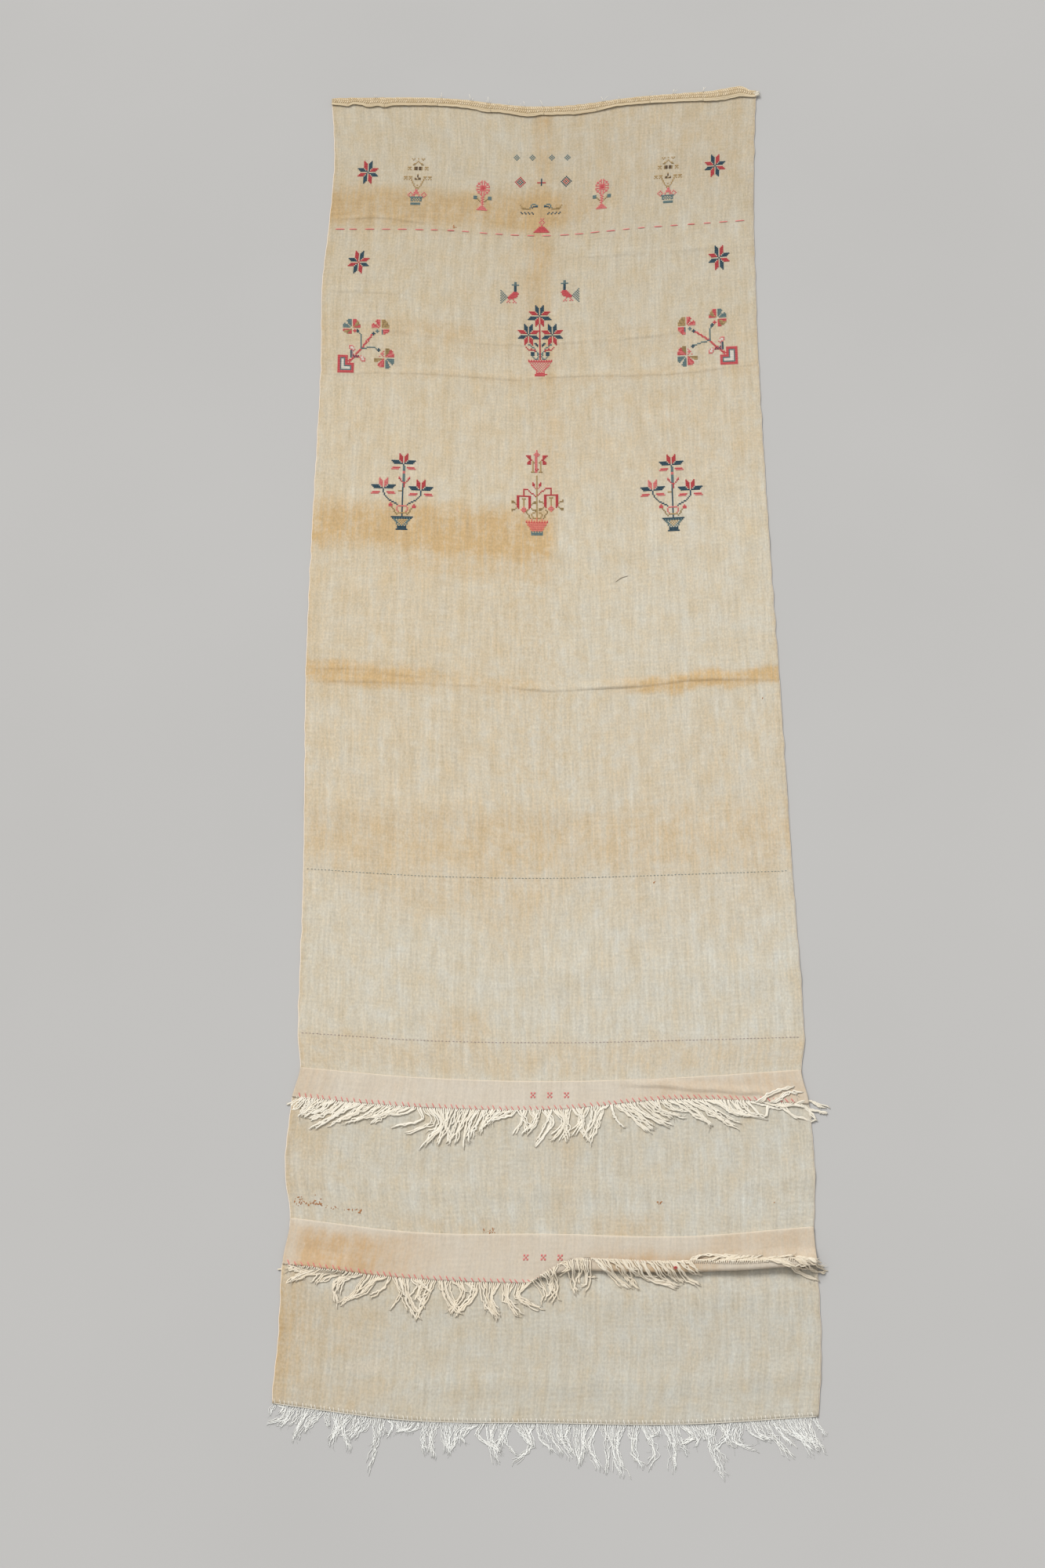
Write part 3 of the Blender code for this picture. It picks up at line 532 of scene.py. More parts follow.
class Recipe:
    """Builds a material's nodes by short calls. A value is a number or a node's output."""

    def __init__(self, name, roughness, sheen=0.0):
        self.result = bpy.data.materials.new(name)
        self.result.use_nodes = True
        self.tree = self.result.node_tree
        self.shader = self.tree.nodes["Principled BSDF"].inputs
        self.shader["Roughness"].default_value = roughness
        self.shader["Specular IOR Level"].default_value = 0.2
        self.shader["Sheen Weight"].default_value = sheen

    def feed(self, socket, value):
        """Links an output to a socket, or sets its value. No value leaves it as it is."""
        if isinstance(value, bpy.types.NodeSocket):
            self.tree.links.new(value, socket)
        elif value is not None:
            socket.default_value = (*value, 1.0) if socket.type == "RGBA" else value

    def node(self, kind, *values, output=0, **settings):
        """Adds a node, feeds its inputs in turn and gives one of its outputs."""
        made = self.tree.nodes.new("ShaderNode" + kind)
        for key, value in settings.items():
            setattr(made, key, value)
        for socket, value in zip(made.inputs, values):
            self.feed(socket, value)
        return made.outputs[output]

    def attribute(self, name, output="Fac"):
        """Reads a value stored in the mesh."""
        return self.node("Attribute", output=output, attribute_name=name)

    def math(self, operation, a, b=0.0, clamp=False):
        """Works out one value from two."""
        return self.node("Math", a, b, operation=operation, use_clamp=clamp)

    def times(self, start, *factors):
        """Multiplies values."""
        for factor in factors:
            start = self.math("MULTIPLY", start, factor)
        return start

    def total(self, start, *parts):
        """Adds weighted values to a start."""
        for value, weight in parts:
            start = self.node("Math", value, weight, start, operation="MULTIPLY_ADD")
        return start

    def rest(self, value):
        """What a value lacks to 1."""
        return self.math("SUBTRACT", 1.0, value)

    def wave(self, value, pitch):
        """A wave that is zero at each pitch."""
        return self.math("SINE", self.times(value, math.pi / pitch))

    def noise(self, vector, scale, detail=2.0, roughness=0.5):
        """Reads noise on a vector that is scaled along each axis."""
        scaled = self.node("VectorMath", vector, scale, operation="MULTIPLY")
        return self.node("TexNoise", scaled, None, 1.0, detail, roughness)

    def span(self, value, low, high, to_low=0.0, to_high=1.0):
        """Maps a range of a value smoothly on to another range."""
        return self.node("MapRange", value, low, high, to_low, to_high,
                         interpolation_type="SMOOTHSTEP")

    def blend(self, share, a, b, kind="MIX"):
        """Mixes two colours, past the inputs for other kinds of value."""
        return self.node("Mix", share, *[None] * 5, a, b, output=2, data_type="RGBA",
                         blend_type=kind)

    def dim(self, colour, tone):
        """Multiplies a colour by a value."""
        return self.blend(1.0, colour, self.node("CombineColor", tone, tone, tone), "MULTIPLY")

    def split(self, vector):
        """The parts of a vector."""
        return self.node("SeparateXYZ", vector).node.outputs

    def finish(self, colour, height=None, depth=0.0):
        """Feeds the shader a colour and a bump of this depth in metres."""
        self.feed(self.shader["Base Color"], colour)
        if height is not None:
            normal = self.node("Bump")
            self.feed(normal.node.inputs["Distance"], depth)
            self.feed(normal.node.inputs["Height"], height)
            self.feed(self.shader["Normal"], normal)
        return self.result


def plain_weave(r, weave):
    """The height of a plain weave's threads and how open it is between them, which the linen
    darkens as painted shade.
    """
    u, v, _ = r.split(weave)
    across, along = r.wave(u, WARP_PITCH), r.wave(v, WEFT_PITCH)
    warp, woof = r.math("ABSOLUTE", across), r.math("ABSOLUTE", along)
    over = r.span(r.times(across, along, 2.4), -1.0, 1.0)
    height = r.math("ADD", r.times(warp, over), r.times(woof, r.rest(over)))
    return height, r.times(r.rest(warp), r.rest(woof))


def linen_material(name, grey, cream, tan, streaks, uneven=1.0):
    """Hand-woven linen: uneven threads, thin and thick places, old stains, and painted shade in the
    openings between the threads.
    """
    r = Recipe(name, 0.95, sheen=0.08)
    r.shader["Sheen Roughness"].default_value = 0.6
    weave = r.attribute("weave", "Vector")
    warp = r.noise(weave, (480, 34, 1))
    woof = r.noise(weave, (40, 460, 1))
    bands = r.noise(weave, (150, 9, 1))
    patches = r.noise(weave, (60, 42, 1), 5.0, 0.6)
    mottle = r.noise(weave, (230, 170, 1), 3.0, 0.6)
    grain = r.noise(weave, (620, 420, 1), 2.0, 0.6)
    u, v, _ = r.split(weave)
    higher, lefter = r.span(v, -0.55, 0.5), r.span(u, -0.19, 0.19, 1.0, 0.0)
    warmth = r.total(-0.01, (patches, 0.48), (mottle, 0.21), (bands, 0.22), (warp, -0.06),
                     (higher, 0.14), (lefter, 0.05))
    colour = r.blend(r.span(warmth, 0.06, 0.94), grey, cream)
    stain = r.attribute("stain")
    ragged = r.total(0.0, (patches, 0.28), (mottle, 0.26), (warp, 0.22), (bands, 0.24))
    soaked = r.times(stain, r.span(ragged, 0.37, 0.63, 0.46, 1.24))
    colour = r.blend(r.math("MINIMUM", soaked, 1.0), colour, tan)
    colour = r.blend(r.math("MULTIPLY", stain, -1.0, clamp=True), colour, WASHED_OUT)
    rusty = r.total(0.0, (patches, 0.5), (warp, 0.5))
    colour = r.blend(r.span(rusty, 0.53, 0.66, 0.0, streaks), colour, tan)
    cold = r.total(0.0, (bands, 0.5), (woof, 0.5))
    colour = r.blend(r.span(cold, 0.54, 0.68, 0.0, streaks), colour, COLD_GREY)
    height, gap_shade = plain_weave(r, weave)
    weights = ((grain, 0.46), (warp, 0.38), (woof, 0.15), (mottle, -0.10), (patches, -0.17),
               (bands, -0.18))
    level = 1.00 - uneven * sum(weight for _, weight in weights) / 2
    # painted shade: the openings between the weave's threads are darkened by up to a quarter of the
    # tone
    tone = r.total(level, *((value, weight * uneven) for value, weight in weights), (gap_shade, -0.25))
    for zone in TONES:
        tone = r.times(tone, r.span(v, *zone))
    slubs = r.total(height, (warp, 0.7), (woof, 0.7))
    return r.finish(r.dim(colour, tone), slubs, 0.00022)


def thread_material(name, colour, other, ply=0.0011, gloss=0.62, dark=0.80):
    """Twisted thread: two plies with painted shade in the grooves between them, and a colour that
    differs from thread to thread.
    """
    r = Recipe(name, gloss, sheen=0.10)
    strand = r.node("UVMap", uv_map="strand")
    around, along, _ = r.split(strand)
    turns = r.total(0.0, (around, 2.0), (along, 1 / ply))
    plies = r.math("ABSOLUTE", r.wave(turns, 1.0))
    fibre = r.noise(strand, (9, 700, 1))
    share = r.total(0.0, (r.attribute("tone"), 0.5), (fibre, 0.5))
    tint = r.blend(r.span(share, 0.1, 0.9), colour, other)
    # Painted shade: the grooves between the plies are darkened down to the share dark.
    tint = r.dim(tint, r.span(plies, 0.0, 0.7, dark, 1.0))
    return r.finish(tint, r.total(plies, (fibre, 0.4)), 0.00010)


def smudge(side, line, table):
    """How stained the cloth is at a place. The edges of the stains stray."""
    drift = Vector((side * 7, line * 32, 1.5))
    fine = Vector((side * 24, line * 100, 4.5))
    side += STAIN_STRAY[0] * (noise.noise(drift) + 0.6 * noise.noise(fine))
    line += STAIN_STRAY[1] * (noise.noise(drift + UP * 9) + 0.6 * noise.noise(fine + UP * 9))
    amount = 0.0
    for left, right, low, high, soft_side, soft_line, strength in table:
        across = smooth(side, left - soft_side, left + soft_side)
        across *= 1 - smooth(side, right - soft_side, right + soft_side)
        along = smooth(line, low - soft_line, low + soft_line)
        along *= 1 - smooth(line, high - soft_line, high + soft_line)
        amount += strength * across * along
    return amount


def panel_stain(side, line):
    """The panels' stains, with a warm tinge along both selvedges, stronger on the left."""
    edge = EDGE_STAIN * smooth(abs(side), EDGE_STAIN_START, 0.995)
    return smudge(side, line, STAINS) + (edge if side < 0 else 0.3 * edge)


def add_piece(name, mesh, surface, slot):
    """Puts a mesh in the scene as a piece that rides on the towel's body."""
    mesh.materials.append(surface)
    mesh.shade_smooth()
    piece = bpy.data.objects.new(name, mesh)
    bpy.context.scene.collection.objects.link(piece)
    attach(piece, "root")
    return piece


def sheet(name, sides, steps, place, stain_at, surface, slot):
    """A thin sheet that stands for the solid of its name, made from its underside.

    place gives the point at a side and a step, and the weft line that lies there.
    """
    points, weave, stains = [], [], []
    for step in steps:
        for side in sides:
            point, line = place(side, step)
            points.append(point)
            weave += (side * HALF_WIDTH, line, 0.0)
            stains.append(stain_at(side, line))
    wide = len(sides)
    faces = [(k, k + 1, k + wide + 1, k + wide) for start in range(0, len(points) - wide, wide)
             for k in range(start, start + wide - 1)]
    mesh = bpy.data.meshes.new(name)
    mesh.from_pydata(points, [], faces)
    mesh.attributes.new("weave", "FLOAT_VECTOR", "POINT").data.foreach_set("vector", weave)
    mesh.attributes.new("stain", "FLOAT", "POINT").data.foreach_set("value", stains)
    piece = add_piece(name, mesh, surface, slot)
    solid = piece.modifiers.new("Thickness", "SOLIDIFY")
    solid.thickness = LINEN
    solid.offset = 1.0
    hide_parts(name)
    return piece


def crease_lines(first, last):
    """Weft lines for a panel's grid, closer together where sharp creases run."""
    spans = []
    for _, above, below, points in CREASES:
        if below < SHARP:
            heights = [line for _, line in points]
            spans.append((min(heights) - 1.3 * below, max(heights) + 0.5 * above))
    lines = []
    line = last
    while line < first - CREASE_STEP:
        lines.append(line)
        near = any(low < line < high for low, high in spans)
        line += CREASE_STEP if near else MESH_STEP / 2
    return [*lines, first]


def sides_across(count):
    """Sides for a sheet's grid, with a narrow cell along both edges to keep them crisp."""
    return [-1.0, NARROW_CELL - 1.0, *evenly(-1.0, 1.0, count)[1:-1], 1.0 - NARROW_CELL, 1.0]


def panel(name, first, last, surface):
    """One length of linen between two weft lines."""
    def place(side, line):
        return panel_top(side, line) - UP * LINEN, line

    sides = sides_across(round(2 * HALF_WIDTH / MESH_STEP))
    return sheet(name, sides, crease_lines(first, last), place, panel_stain, surface, "linen")


def tape_point(side, share):
    """Underside of the tape: share is 0 at its upper edge and 1 at its lower edge."""
    x, y = ground(side, HEAD)
    width, over = eased(TAPE_SHAPE, 1, side), eased(TAPE_SHAPE, 2, side)
    curl = TAPE_LIFT * share ** 3 * (1.0 + noise.noise(Vector((side * 11, 0.0, 2.0))))
    ripple = 0.0005 * noise.noise(Vector((side * 40, share, 6.0)))
    bulge = 0.0004 * math.sin(math.pi * share)
    return Vector((x, y + over - width * share + ripple, FLAP_UNDER + curl + bulge))


def heading_tape(surface):
    """The narrow tape along the head."""
    def place(side, share):
        point = tape_point(side, share)
        return point, point.y

    def stain_at(side, line):
        return 0.2 + 0.5 * smooth(noise.noise(Vector((side * 6, 0.0, 8.0))), 0.0, 0.5)

    return sheet("heading_tape", evenly(-1.0, 1.0, 240), evenly(1.0, 0.0, 6), place, stain_at,
                 surface, "tape")


def flap(name, point_at, depths, join, surface):
    """A flap of pinkish linen over a join."""
    def place(side, share):
        along = spline(SIDES, depths, side) * share
        return point_at(side, along), join + FLAP_LAP - along

    def stain_at(side, line):
        return smudge(side, line, FLAP_STAINS)

    return sheet(name, sides_across(130), evenly(1.0, 0.0, 26), place, stain_at, surface,
                 "flap_linen")


class Strands:
    """Collects many threads, which become one joined mesh."""

    def __init__(self, seed):
        self.rng = random.Random(seed)
        self.points, self.faces, self.uvs, self.tones = [], [], [], []

    def add(self, path, wide, high=None, sides=4, tip=0.7):
        """Adds a closed thread of oval section along a path."""
        high = high or wide
        tone = self.rng.random()
        start = len(self.points)
        last = len(path) - 1
        across = Vector((1.0, 0.0, 0.0))
        run = [0.0]
        for i, point in enumerate(path):
            way = path[min(i + 1, last)] - path[max(i - 1, 0)]
            if way.length < 1e-7:
                way = Vector((0.0, -1.0, 0.0))
            way.normalize()
            turned = way.cross(UP)
            if turned.length > 0.25:
                across = turned.normalized()
            else:
                across = (across - way * across.dot(way)).normalized()
            lift = across.cross(way)
            size = tip if i in (0, last) else 1.0
            for j in range(sides):
                angle = 2 * math.pi * (j + 0.5) / sides
                reach = across * (math.cos(angle) * wide) + lift * (math.sin(angle) * high)
                self.points.append(point + reach * (size / 2))
            if i:
                run.append(run[-1] + (point - path[i - 1]).length)
        for i in range(last):
            base = start + i * sides
            for j in range(sides):
                k = (j + 1) % sides
                self.faces.append((base + j, base + sides + j, base + sides + k, base + k))
                a, b = j / sides, (j + 1) / sides
                self.uvs += (a, run[i], a, run[i + 1], b, run[i + 1], b, run[i])
        self.faces.append(tuple(start + j for j in range(sides)))
        self.faces.append(tuple(start + last * sides + j for j in reversed(range(sides))))
        for j in range(sides):
            self.uvs += (j / sides, 0.0)
        for j in reversed(range(sides)):
            self.uvs += (j / sides, run[-1])
        self.tones += [tone] * (len(path) * sides)

    def build(self, name, surface, slot):
        """Makes the piece."""
        mesh = bpy.data.meshes.new(name)
        mesh.from_pydata(self.points, [], self.faces)
        mesh.uv_layers.new(name="strand").data.foreach_set("uv", self.uvs)
        mesh.attributes.new("tone", "FLOAT", "POINT").data.foreach_set("value", self.tones)
        return add_piece(name, mesh, surface, slot)


class Pen:
    """Sets a motif's stitches by cell: columns to the right and rows up from its own place."""

    def __init__(self, cells, sides, x=0, y=0):
        self.cells, self.sides, self.x, self.y = cells, sides, x, y

    def at(self, x, y):
        """The same pen in another place."""
        return Pen(self.cells, self.sides, self.x + x, self.y + y)

    def dot(self, colour, *cells):
        """Sets single cells. No colour leaves them bare."""
        for column, row in cells if colour else ():
            for side in self.sides:
                self.cells[round(self.x + side * column), round(self.y + row)] = colour

    def line(self, colour, *knots, thick=1):
        """Runs straight from knot to knot."""
        for (x0, y0), (x1, y1) in zip(knots, knots[1:]):
            steps = max(round(abs(x1 - x0)), round(abs(y1 - y0)), 1)
            for x, y in zip(evenly(x0, x1, steps), evenly(y0, y1, steps)):
                self.dot(colour, *((x + extra, y) for extra in range(thick)))

    def block(self, colour, left, right, bottom, top):
        """Fills a rectangle."""
        for row in range(bottom, top + 1):
            self.line(colour, (left, row), (right, row))

    def teeth(self, colour, reach, row):
        """Sets every other cell of a row, as far as a reach on both sides."""
        self.dot(colour, *((column, row) for column in range(-reach, reach + 1, 2)))

    def ring(self, colour, radius):
        """Outlines a diamond."""
        self.line(colour, (-radius, 0), (0, radius), (radius, 0), (0, -radius), (-radius, 0))

    def diamond(self, colour, radius):
        """Fills a diamond."""
        for reach in range(radius + 1):
            self.ring(colour, reach)

    def five(self, colour):
        """Four stitches round a fifth."""
        self.dot(colour, (0, 0), (1, 1), (-1, 1), (1, -1), (-1, -1))

    def bowl(self, colours, reaches, bottom):
        """A checkered bowl, wider from row to row, with plain sides."""
        for row, reach in enumerate(reaches, start=bottom):
            for k in range(-reach, reach + 1):
                self.dot(colours[(k + row) % 2 if abs(k) < reach else 0], (k, row))

    def star(self, colours, lengths):
        """Slanted petals, three stitches wide, clockwise from the one right of the top."""
        for k, colour in enumerate(colours):
            right, up = -1 if k > 3 else 1, -1 if 1 < k < 6 else 1
            for i in range(3):
                for j in range(lengths[min(k, 7 - k)]):
                    narrow, long = 1 + i, 2 + i + j
                    cell = (long, narrow) if k % 4 in (1, 2) else (narrow, long)
                    self.dot(colour, (right * cell[0], up * cell[1]))

    def fan(self, colours, right, up, wide=7, high=7):
        """A quarter of a carnation: rays in turn from flat to upright."""
        for a in range(1, wide + 1):
            for b in range(1, high + 1):
                flat, steep = (a - 0.5) / wide, (b - 0.5) / high
                turn = math.atan2(steep, flat) / (math.pi / 2)
                if math.hypot(flat, steep) < 1.03:
                    self.dot(colours[int(turn * len(colours))], (right * a, up * b))


# Motifs are drawn with two pens: one draws as told, and both draws the mirror image too


def corner_star(one, both, first, second, heart):
    """The eight-pointed stars of the upper corners."""
    one.star((first, second) * 4, (6, 5, 5, 6))
    one.five(heart)


def tan_plant(one, both):
    """A faded tan plant in a slate basket."""
    one.at(-5, 8).ring("pink", 2)
    one.at(6, 8).ring("pink", 2)
    one.block("slate", -4, 3, 0, 1)
    one.bowl(("slate", None), (4, 4, 4), 3)
    one.line("slate", (-5, 6), (5, 6))
    one.block("pink", -2, 1, 9, 10)
    one.block("pink", -1, 0, 11, 12)
    both.dot("pink", (2, 7), (2, 8))
    both.dot("tan", *((0.6 + 0.65 * k, 13 + k) for k in range(8)))
    for x, y in ((6, 22), (10, 22), (7, 30)):
        both.at(0, y).dot("tan", (x, 0), (x, 1), (x + 1, 1), (x - 1, 1), (x + 1, -1), (x - 1, -1))
    both.line("brown", (1, 21), (2, 21))
    both.block("brown", 1, 2, 29, 31)
    both.dot("olive", (3, 29), (3, 31), (2, 22), (3, 30))
    both.line("tan", (4, 33), (0, 36))
    both.dot("olive", (3, 33), (4, 33))
    both.dot("tan", (3, 38), (5, 38), (4, 37))
    one.dot("tan", (0, 14), (0, 16), (0, 25), (0, 21), (0, 38))
    one.dot("brown", (0, 23), (0, 24), (1, 22))


def rose(one, both):
    """A round rose of many petals on a pink root, with two slate buds."""
    for row in range(5):
        both.line("pink", (0, row), (4 - row, row))
    for row in range(5, 12):
        one.dot("pink", (0, row), (1 if row % 2 else -1, row))
    for column in range(-6, 7):
        for row in range(-6, 7):
            reach = math.hypot(column / 5.6, row / 6.3)
            turn = math.degrees(math.atan2(row, column)) / 30
            if reach < 0.45 or (reach < 1.0 and abs(turn % 1.0 - 0.5) < 0.33):
                one.dot("rose" if reach < 0.3 else "pink", (column, 18 + row))
    both.line("olive", (2, 7), (4, 9))
    both.block("slate", 5, 7, 9, 11)


def small_mark(one, both):
    """A plain slate diamond."""
    one.at(0, 2).ring("slate", 2)
    one.dot("slate", (0, 2))


def checker_mark(one, both, colour, other):
    """A checkered diamond with a ring of another colour."""
    for row in range(-4, 5):
        one.teeth(colour, 4 - abs(row), row + 4)
    one.at(0, 4).ring(other, 2)


def plus(one, both):
    """The small plus sign."""
    one.line("red", (-3, 2), (3, 2))
    one.line("deep_blue", (0, 0), (0, 5))


def beasts(one, both):
    """Two little beasts, face to face."""
    both.line("slate", (3, 5), (6, 6), (8, 5), (8, 4), (9, 3))
    both.line("deep_blue", (3, 4), (6, 4), (7, 3))
    both.line("tan", (9, 2), (16, 3), (17, 5))
    both.line("olive", (10, 2), (15, 2))
    for x in (7, 10, 13, 16):
        both.dot("deep_blue", (x, -1), (x - 1, -2))


def mound(one, both):
    """A pink mound with a loop on top."""
    for row in range(5):
        both.line("rose", (0, row), (6 - row, row))
    one.line("rose", (0, 5), (0, 6))
    one.at(0, 8).ring("pink", 2)
    both.dot("pink", (1, 11))


def bird(one, both):
    """A red bird with a blue neck and a checkered tail, looking right."""
    rows = ((-2, 2), (-2, 4), (-1, 5), (0, 5), (1, 6), (2, 5))
    for row, (left, right) in enumerate(rows, start=3):
        one.line("rose", (left, row), (right, row))
    one.block("deep_blue", 3, 4, 9, 13)
    one.line("slate", (1, 14), (6, 14))
    one.block("slate", 3, 4, 14, 16)
    one.line("pink", (-1, 2), (-2, 1))
    one.line("pink", (2, 2), (3, 1))
    one.dot("pink", (-3, 0), (-1, 0), (2, 0), (4, 0))
    for column in range(6):
        reach = round(1.2 * column)
        one.dot("slate", *((-3 - column, 4 + row) for row in range(-reach, reach + 1)
                           if (column + row) % 2 == 0))


def starry_plant(one, both):
    """The middle plant: three stars above a red basket."""
    one.line("red", (0, 13), (0, 40))
    for x, y, low in ((0, 47, 6), (-9, 32, 5), (10, 32, 5)):
        both.at(x, y).star(("deep_blue", "red") * 2, (5, 5, low, 5))
        one.at(x, y).five("deep_blue")
    both.line("slate", (9, 24), (5, 22), (2, 18), (1, 17))
    both.line("deep_blue", (4, 25), (2, 23))
    both.line("deep_blue", (3, 25), (2, 24))
    both.line("red", (11, 22), (9, 20), (4, 20))
    both.line("red", (7, 21), (4, 19))
    both.block("deep_blue", 5, 7, 16, 18)
    both.dot("slate", (6, 15), (5, 14), (4, 13), (3, 13))
    both.line("slate", (3, 12), (1, 15), (2, 17))
    one.bowl(("pink", None), (3, 3, 4, 5, 6, 7, 7, 8), 3)
    one.line("rose", (-9, 11), (9, 11))
    one.teeth("rose", 9, 12)
    one.line("rose", (-3, 2), (3, 2))
    one.line("rose", (-4, 1), (5, 1))
    one.line("rose", (-4, 0), (3, 0))


def tall_plant(one, both):
    """The plants left and right of the third row: three open flowers above a basket."""
    one.line("deep_blue", (-4, 0), (4, 0))
    one.block("deep_blue", -3, 3, 1, 2)
    one.bowl(("slate", None), (3, 4, 4, 5, 6, 7), 3)
    both.dot("tan", (0, 4), (1, 5), (0, 6), (2, 6), (1, 7))
    one.dot("tan", (3, 7))
    one.line("deep_blue", (-8, 9), (8, 9))
    one.teeth("deep_blue", 7, 8)
    one.line("deep_blue", (0, 10), (0, 30))
    one.line("slate", (0, 31), (0, 46), thick=2)
    for x, y, top in ((0, 47, "red"), (-15, 29, "pink"), (14, 28, "red")):
        flower = both.at(x, y)
        flower.star((top, "deep_blue"), (5, 6))
        flower.line("rose", (3, -2), (8, -2))
        flower.line("pink", (4, -3), (9, -3))
        flower.dot("deep_blue", (0, 0), (1, 1))
    one.line("deep_blue", (-15, 28), (-14, 25), (-11, 22), (-4, 18))
    one.line("deep_blue", (14, 27), (14, 25), (11, 22), (4, 18))
    both.line("pink", (3, 13), (4, 15), (3, 17), (0, 17))
    both.line("tan", (4, 11), (3, 12), (0, 12))
    both.line("olive", (4, 11), (8, 16))
    for x, top in ((-9, 19), (9, 18)):
        one.block("rose", x - 1, x + 1, top - 2, top - 1)
        one.dot("rose", (x, top))
    stem = both.at(1, 0)
    stem.line("pink", (1, 34), (4, 38))
    stem.line("red", (2, 35), (4, 37))
    one.block("pink", 0, 1, 41, 42)
    one.line("red", (1, 31), (1, 34))
    one.line("tan", (-3, 28), (-1, 28))


def tulip_plant(one, both):
    """The plant in the middle of the third row: drooping tulips above a red basket."""
    one.block("slate", -4, 4, 0, 1)
    one.bowl(("slate", None), (4,), 2)
    one.bowl(("coral", "pink"), (4, 5, 5, 6, 7, 7, 8), 3)
    one.teeth("rose", 8, 9)
    one.teeth("coral", 8, 10)
    both.dot("coral", (4, 11), (0, 11), (0, 12), (0, 13))
    one.line("tan", (0, 13), (0, 43))
    for side, base, middle in ((-1, 28, -10), (1, 29, 11)):
        one.line("red", (side, base), (side * 7, base + 5), (middle, base + 5), (middle, base))
        tulip = both.at(middle, base)
        tulip.line("red", (0, 0), (5, 0))
        tulip.block("red", 4, 5, -8, 0)
        tulip.dot("red", (4, -9))
        tulip.line("tan", (0, -2), (0, -7))
        tulip.dot("olive", (1, -2))
        tulip.dot("coral", (0, -8), (1, -9), (0, -10), (2, -10), (1, -11), (0, -12))
        tulip.block("pink", 0, 1, -11, -9)
        for low, rise in ((-6, 1), (-9, -1)):
            tulip.dot("tan", (6, low), (7, low + rise))
            tulip.line("olive", (7, low + rise), (9, low + rise * 2))
            tulip.line("olive", (8, low + rise), (9, low + rise))
    both.dot("red", (3, 38), (3, 37), (2, 37), (2, 36), (3, 36))
    both.dot("pink", (2, 35), (1, 34))
    both.line("tan", (1, 12), (3, 12), (4, 15), (2, 16))
    both.line("olive", (5, 12), (8, 16), (7, 18))
    both.line("tan", (3, 46), (3, 54))
    both.dot("olive", (2, 46), (4, 46), (2, 53))
    for row, ends in enumerate(((5, 7), (5, 7), (5, 6), (4, 5), (5, 6), (5, 7), (5, 8)), start=52):
        both.line("red", *((column, row) for column in ends))
    one.line("pink", (-1, 46), (-1, 57), thick=2)
    one.dot("red", (-1, 48), (1, 48), (0, 47))
    one.at(0, 59).diamond("pink", 2)
    one.dot("pink", (0, 62))


def bent_heart(one, arm):
    """A heart bent round a corner, its colours in rings from the outline in."""
    inside = {(x, y) for right, up in ((arm, 13), (arm + 5, 7))
              for x in range(right + 1) for y in range(up + 1)}
    for x, y in inside:
        depth = next(d for d in range(1, 7) if not all(
            (x + a, y + b) in inside for a in (-d, 0, d) for b in (-d, 0, d)))
        one.dot(("rose", "rose", "slate", "light")[min(depth, 4) - 1], (x, y))
    one.at(arm + 2, 9).diamond("rose", 1)


def knot_and_leaves(one, knot):
    """The knot where the stem leaves the bent heart, and a leaf on each side."""
    for x in range(knot, knot + 7):
        for y in range(12, 14 if x > knot + 2 else 15):
            one.dot("deep_blue" if (x + y) % 2 else "rose", (x, y))
    for k in range(13):
        one.dot("mauve" if k % 2 else "deep_blue", (knot + k % 2, 12 + k // 2))
    leaves = one.at(knot - 10, 0)
    loop = ((17, 12), (18, 13), (21, 11), (21, 9), (19, 9), (17, 12))
    heart = ((18, 12), (19, 11), (19, 12), (20, 10), (20, 11), (19, 10))
    for colour, draw, cells in (("pink", leaves.line, loop), ("light", leaves.dot, heart)):
        draw(colour, *cells)
        draw(colour, *((y, x) for x, y in cells))


def corner_flowers(one, both, joint, top, far, low, arm, drop, bud, low_bud):
    """A bent heart with a stem that parts at a joint into three carnations."""
    bent_heart(one, arm)
    one.line("rose", (arm + 2, 9), joint, (far[0] - 7, far[1] - 4), thick=2)
    one.line("slate", joint, (joint[0], bud[1] - 3), bud)
    one.line("slate", joint, (low_bud[0] - 4, low_bud[1] + 2), low_bud)
    for place in (bud, low_bud, (far[0] - 6, far[1] - 4)):
        one.at(*place).diamond("deep_blue", 1)
    one.at(far[0] - 3, far[1] - 2).diamond("slate", 1)
    knot_and_leaves(one, arm + 3)
    blue = ("slate", "slate", None, "slate", "slate")
    flower = one.at(*top)
    flower.fan(blue, -1, 1)
    flower.fan(("rose", "olive", "tan", "rose", "rose"), 1, 1, 6)
    flower.fan(("rose", "tan", "olive", "rose"), -1, -1, 7, drop)
    flower.at(2, -1 - drop // 3).diamond("rose", 1)
    flower = one.at(*far)
    flower.fan(("pink", "rose", None, "rose", "pink"), -1, 1)
    flower.fan(("tan", "olive", "tan", "olive", "tan"), 1, 1, 6)
    flower.fan(("rose", "pink", "rose", "pink"), 1, -1, 6, drop)
    flower.line("slate", (1, -1), (1, -4))
    flower = one.at(*low)
    flower.fan(("rose", "pink", "rose", "olive", "olive"), 1, 1)
    flower.fan(blue, 1, -1, 7, 8)
    flower.fan(("olive", "tan", None, "rose", "pink", "rose"), -1, -1, 8, 7)
    flower.at(-2, 3).diamond("pink", 1)
    flower.dot("pink", (-1, 1), (-4, 1), (-1, 5))


def flap_mark(one, both):
    """The small mark on the flaps."""
    one.five("pink")


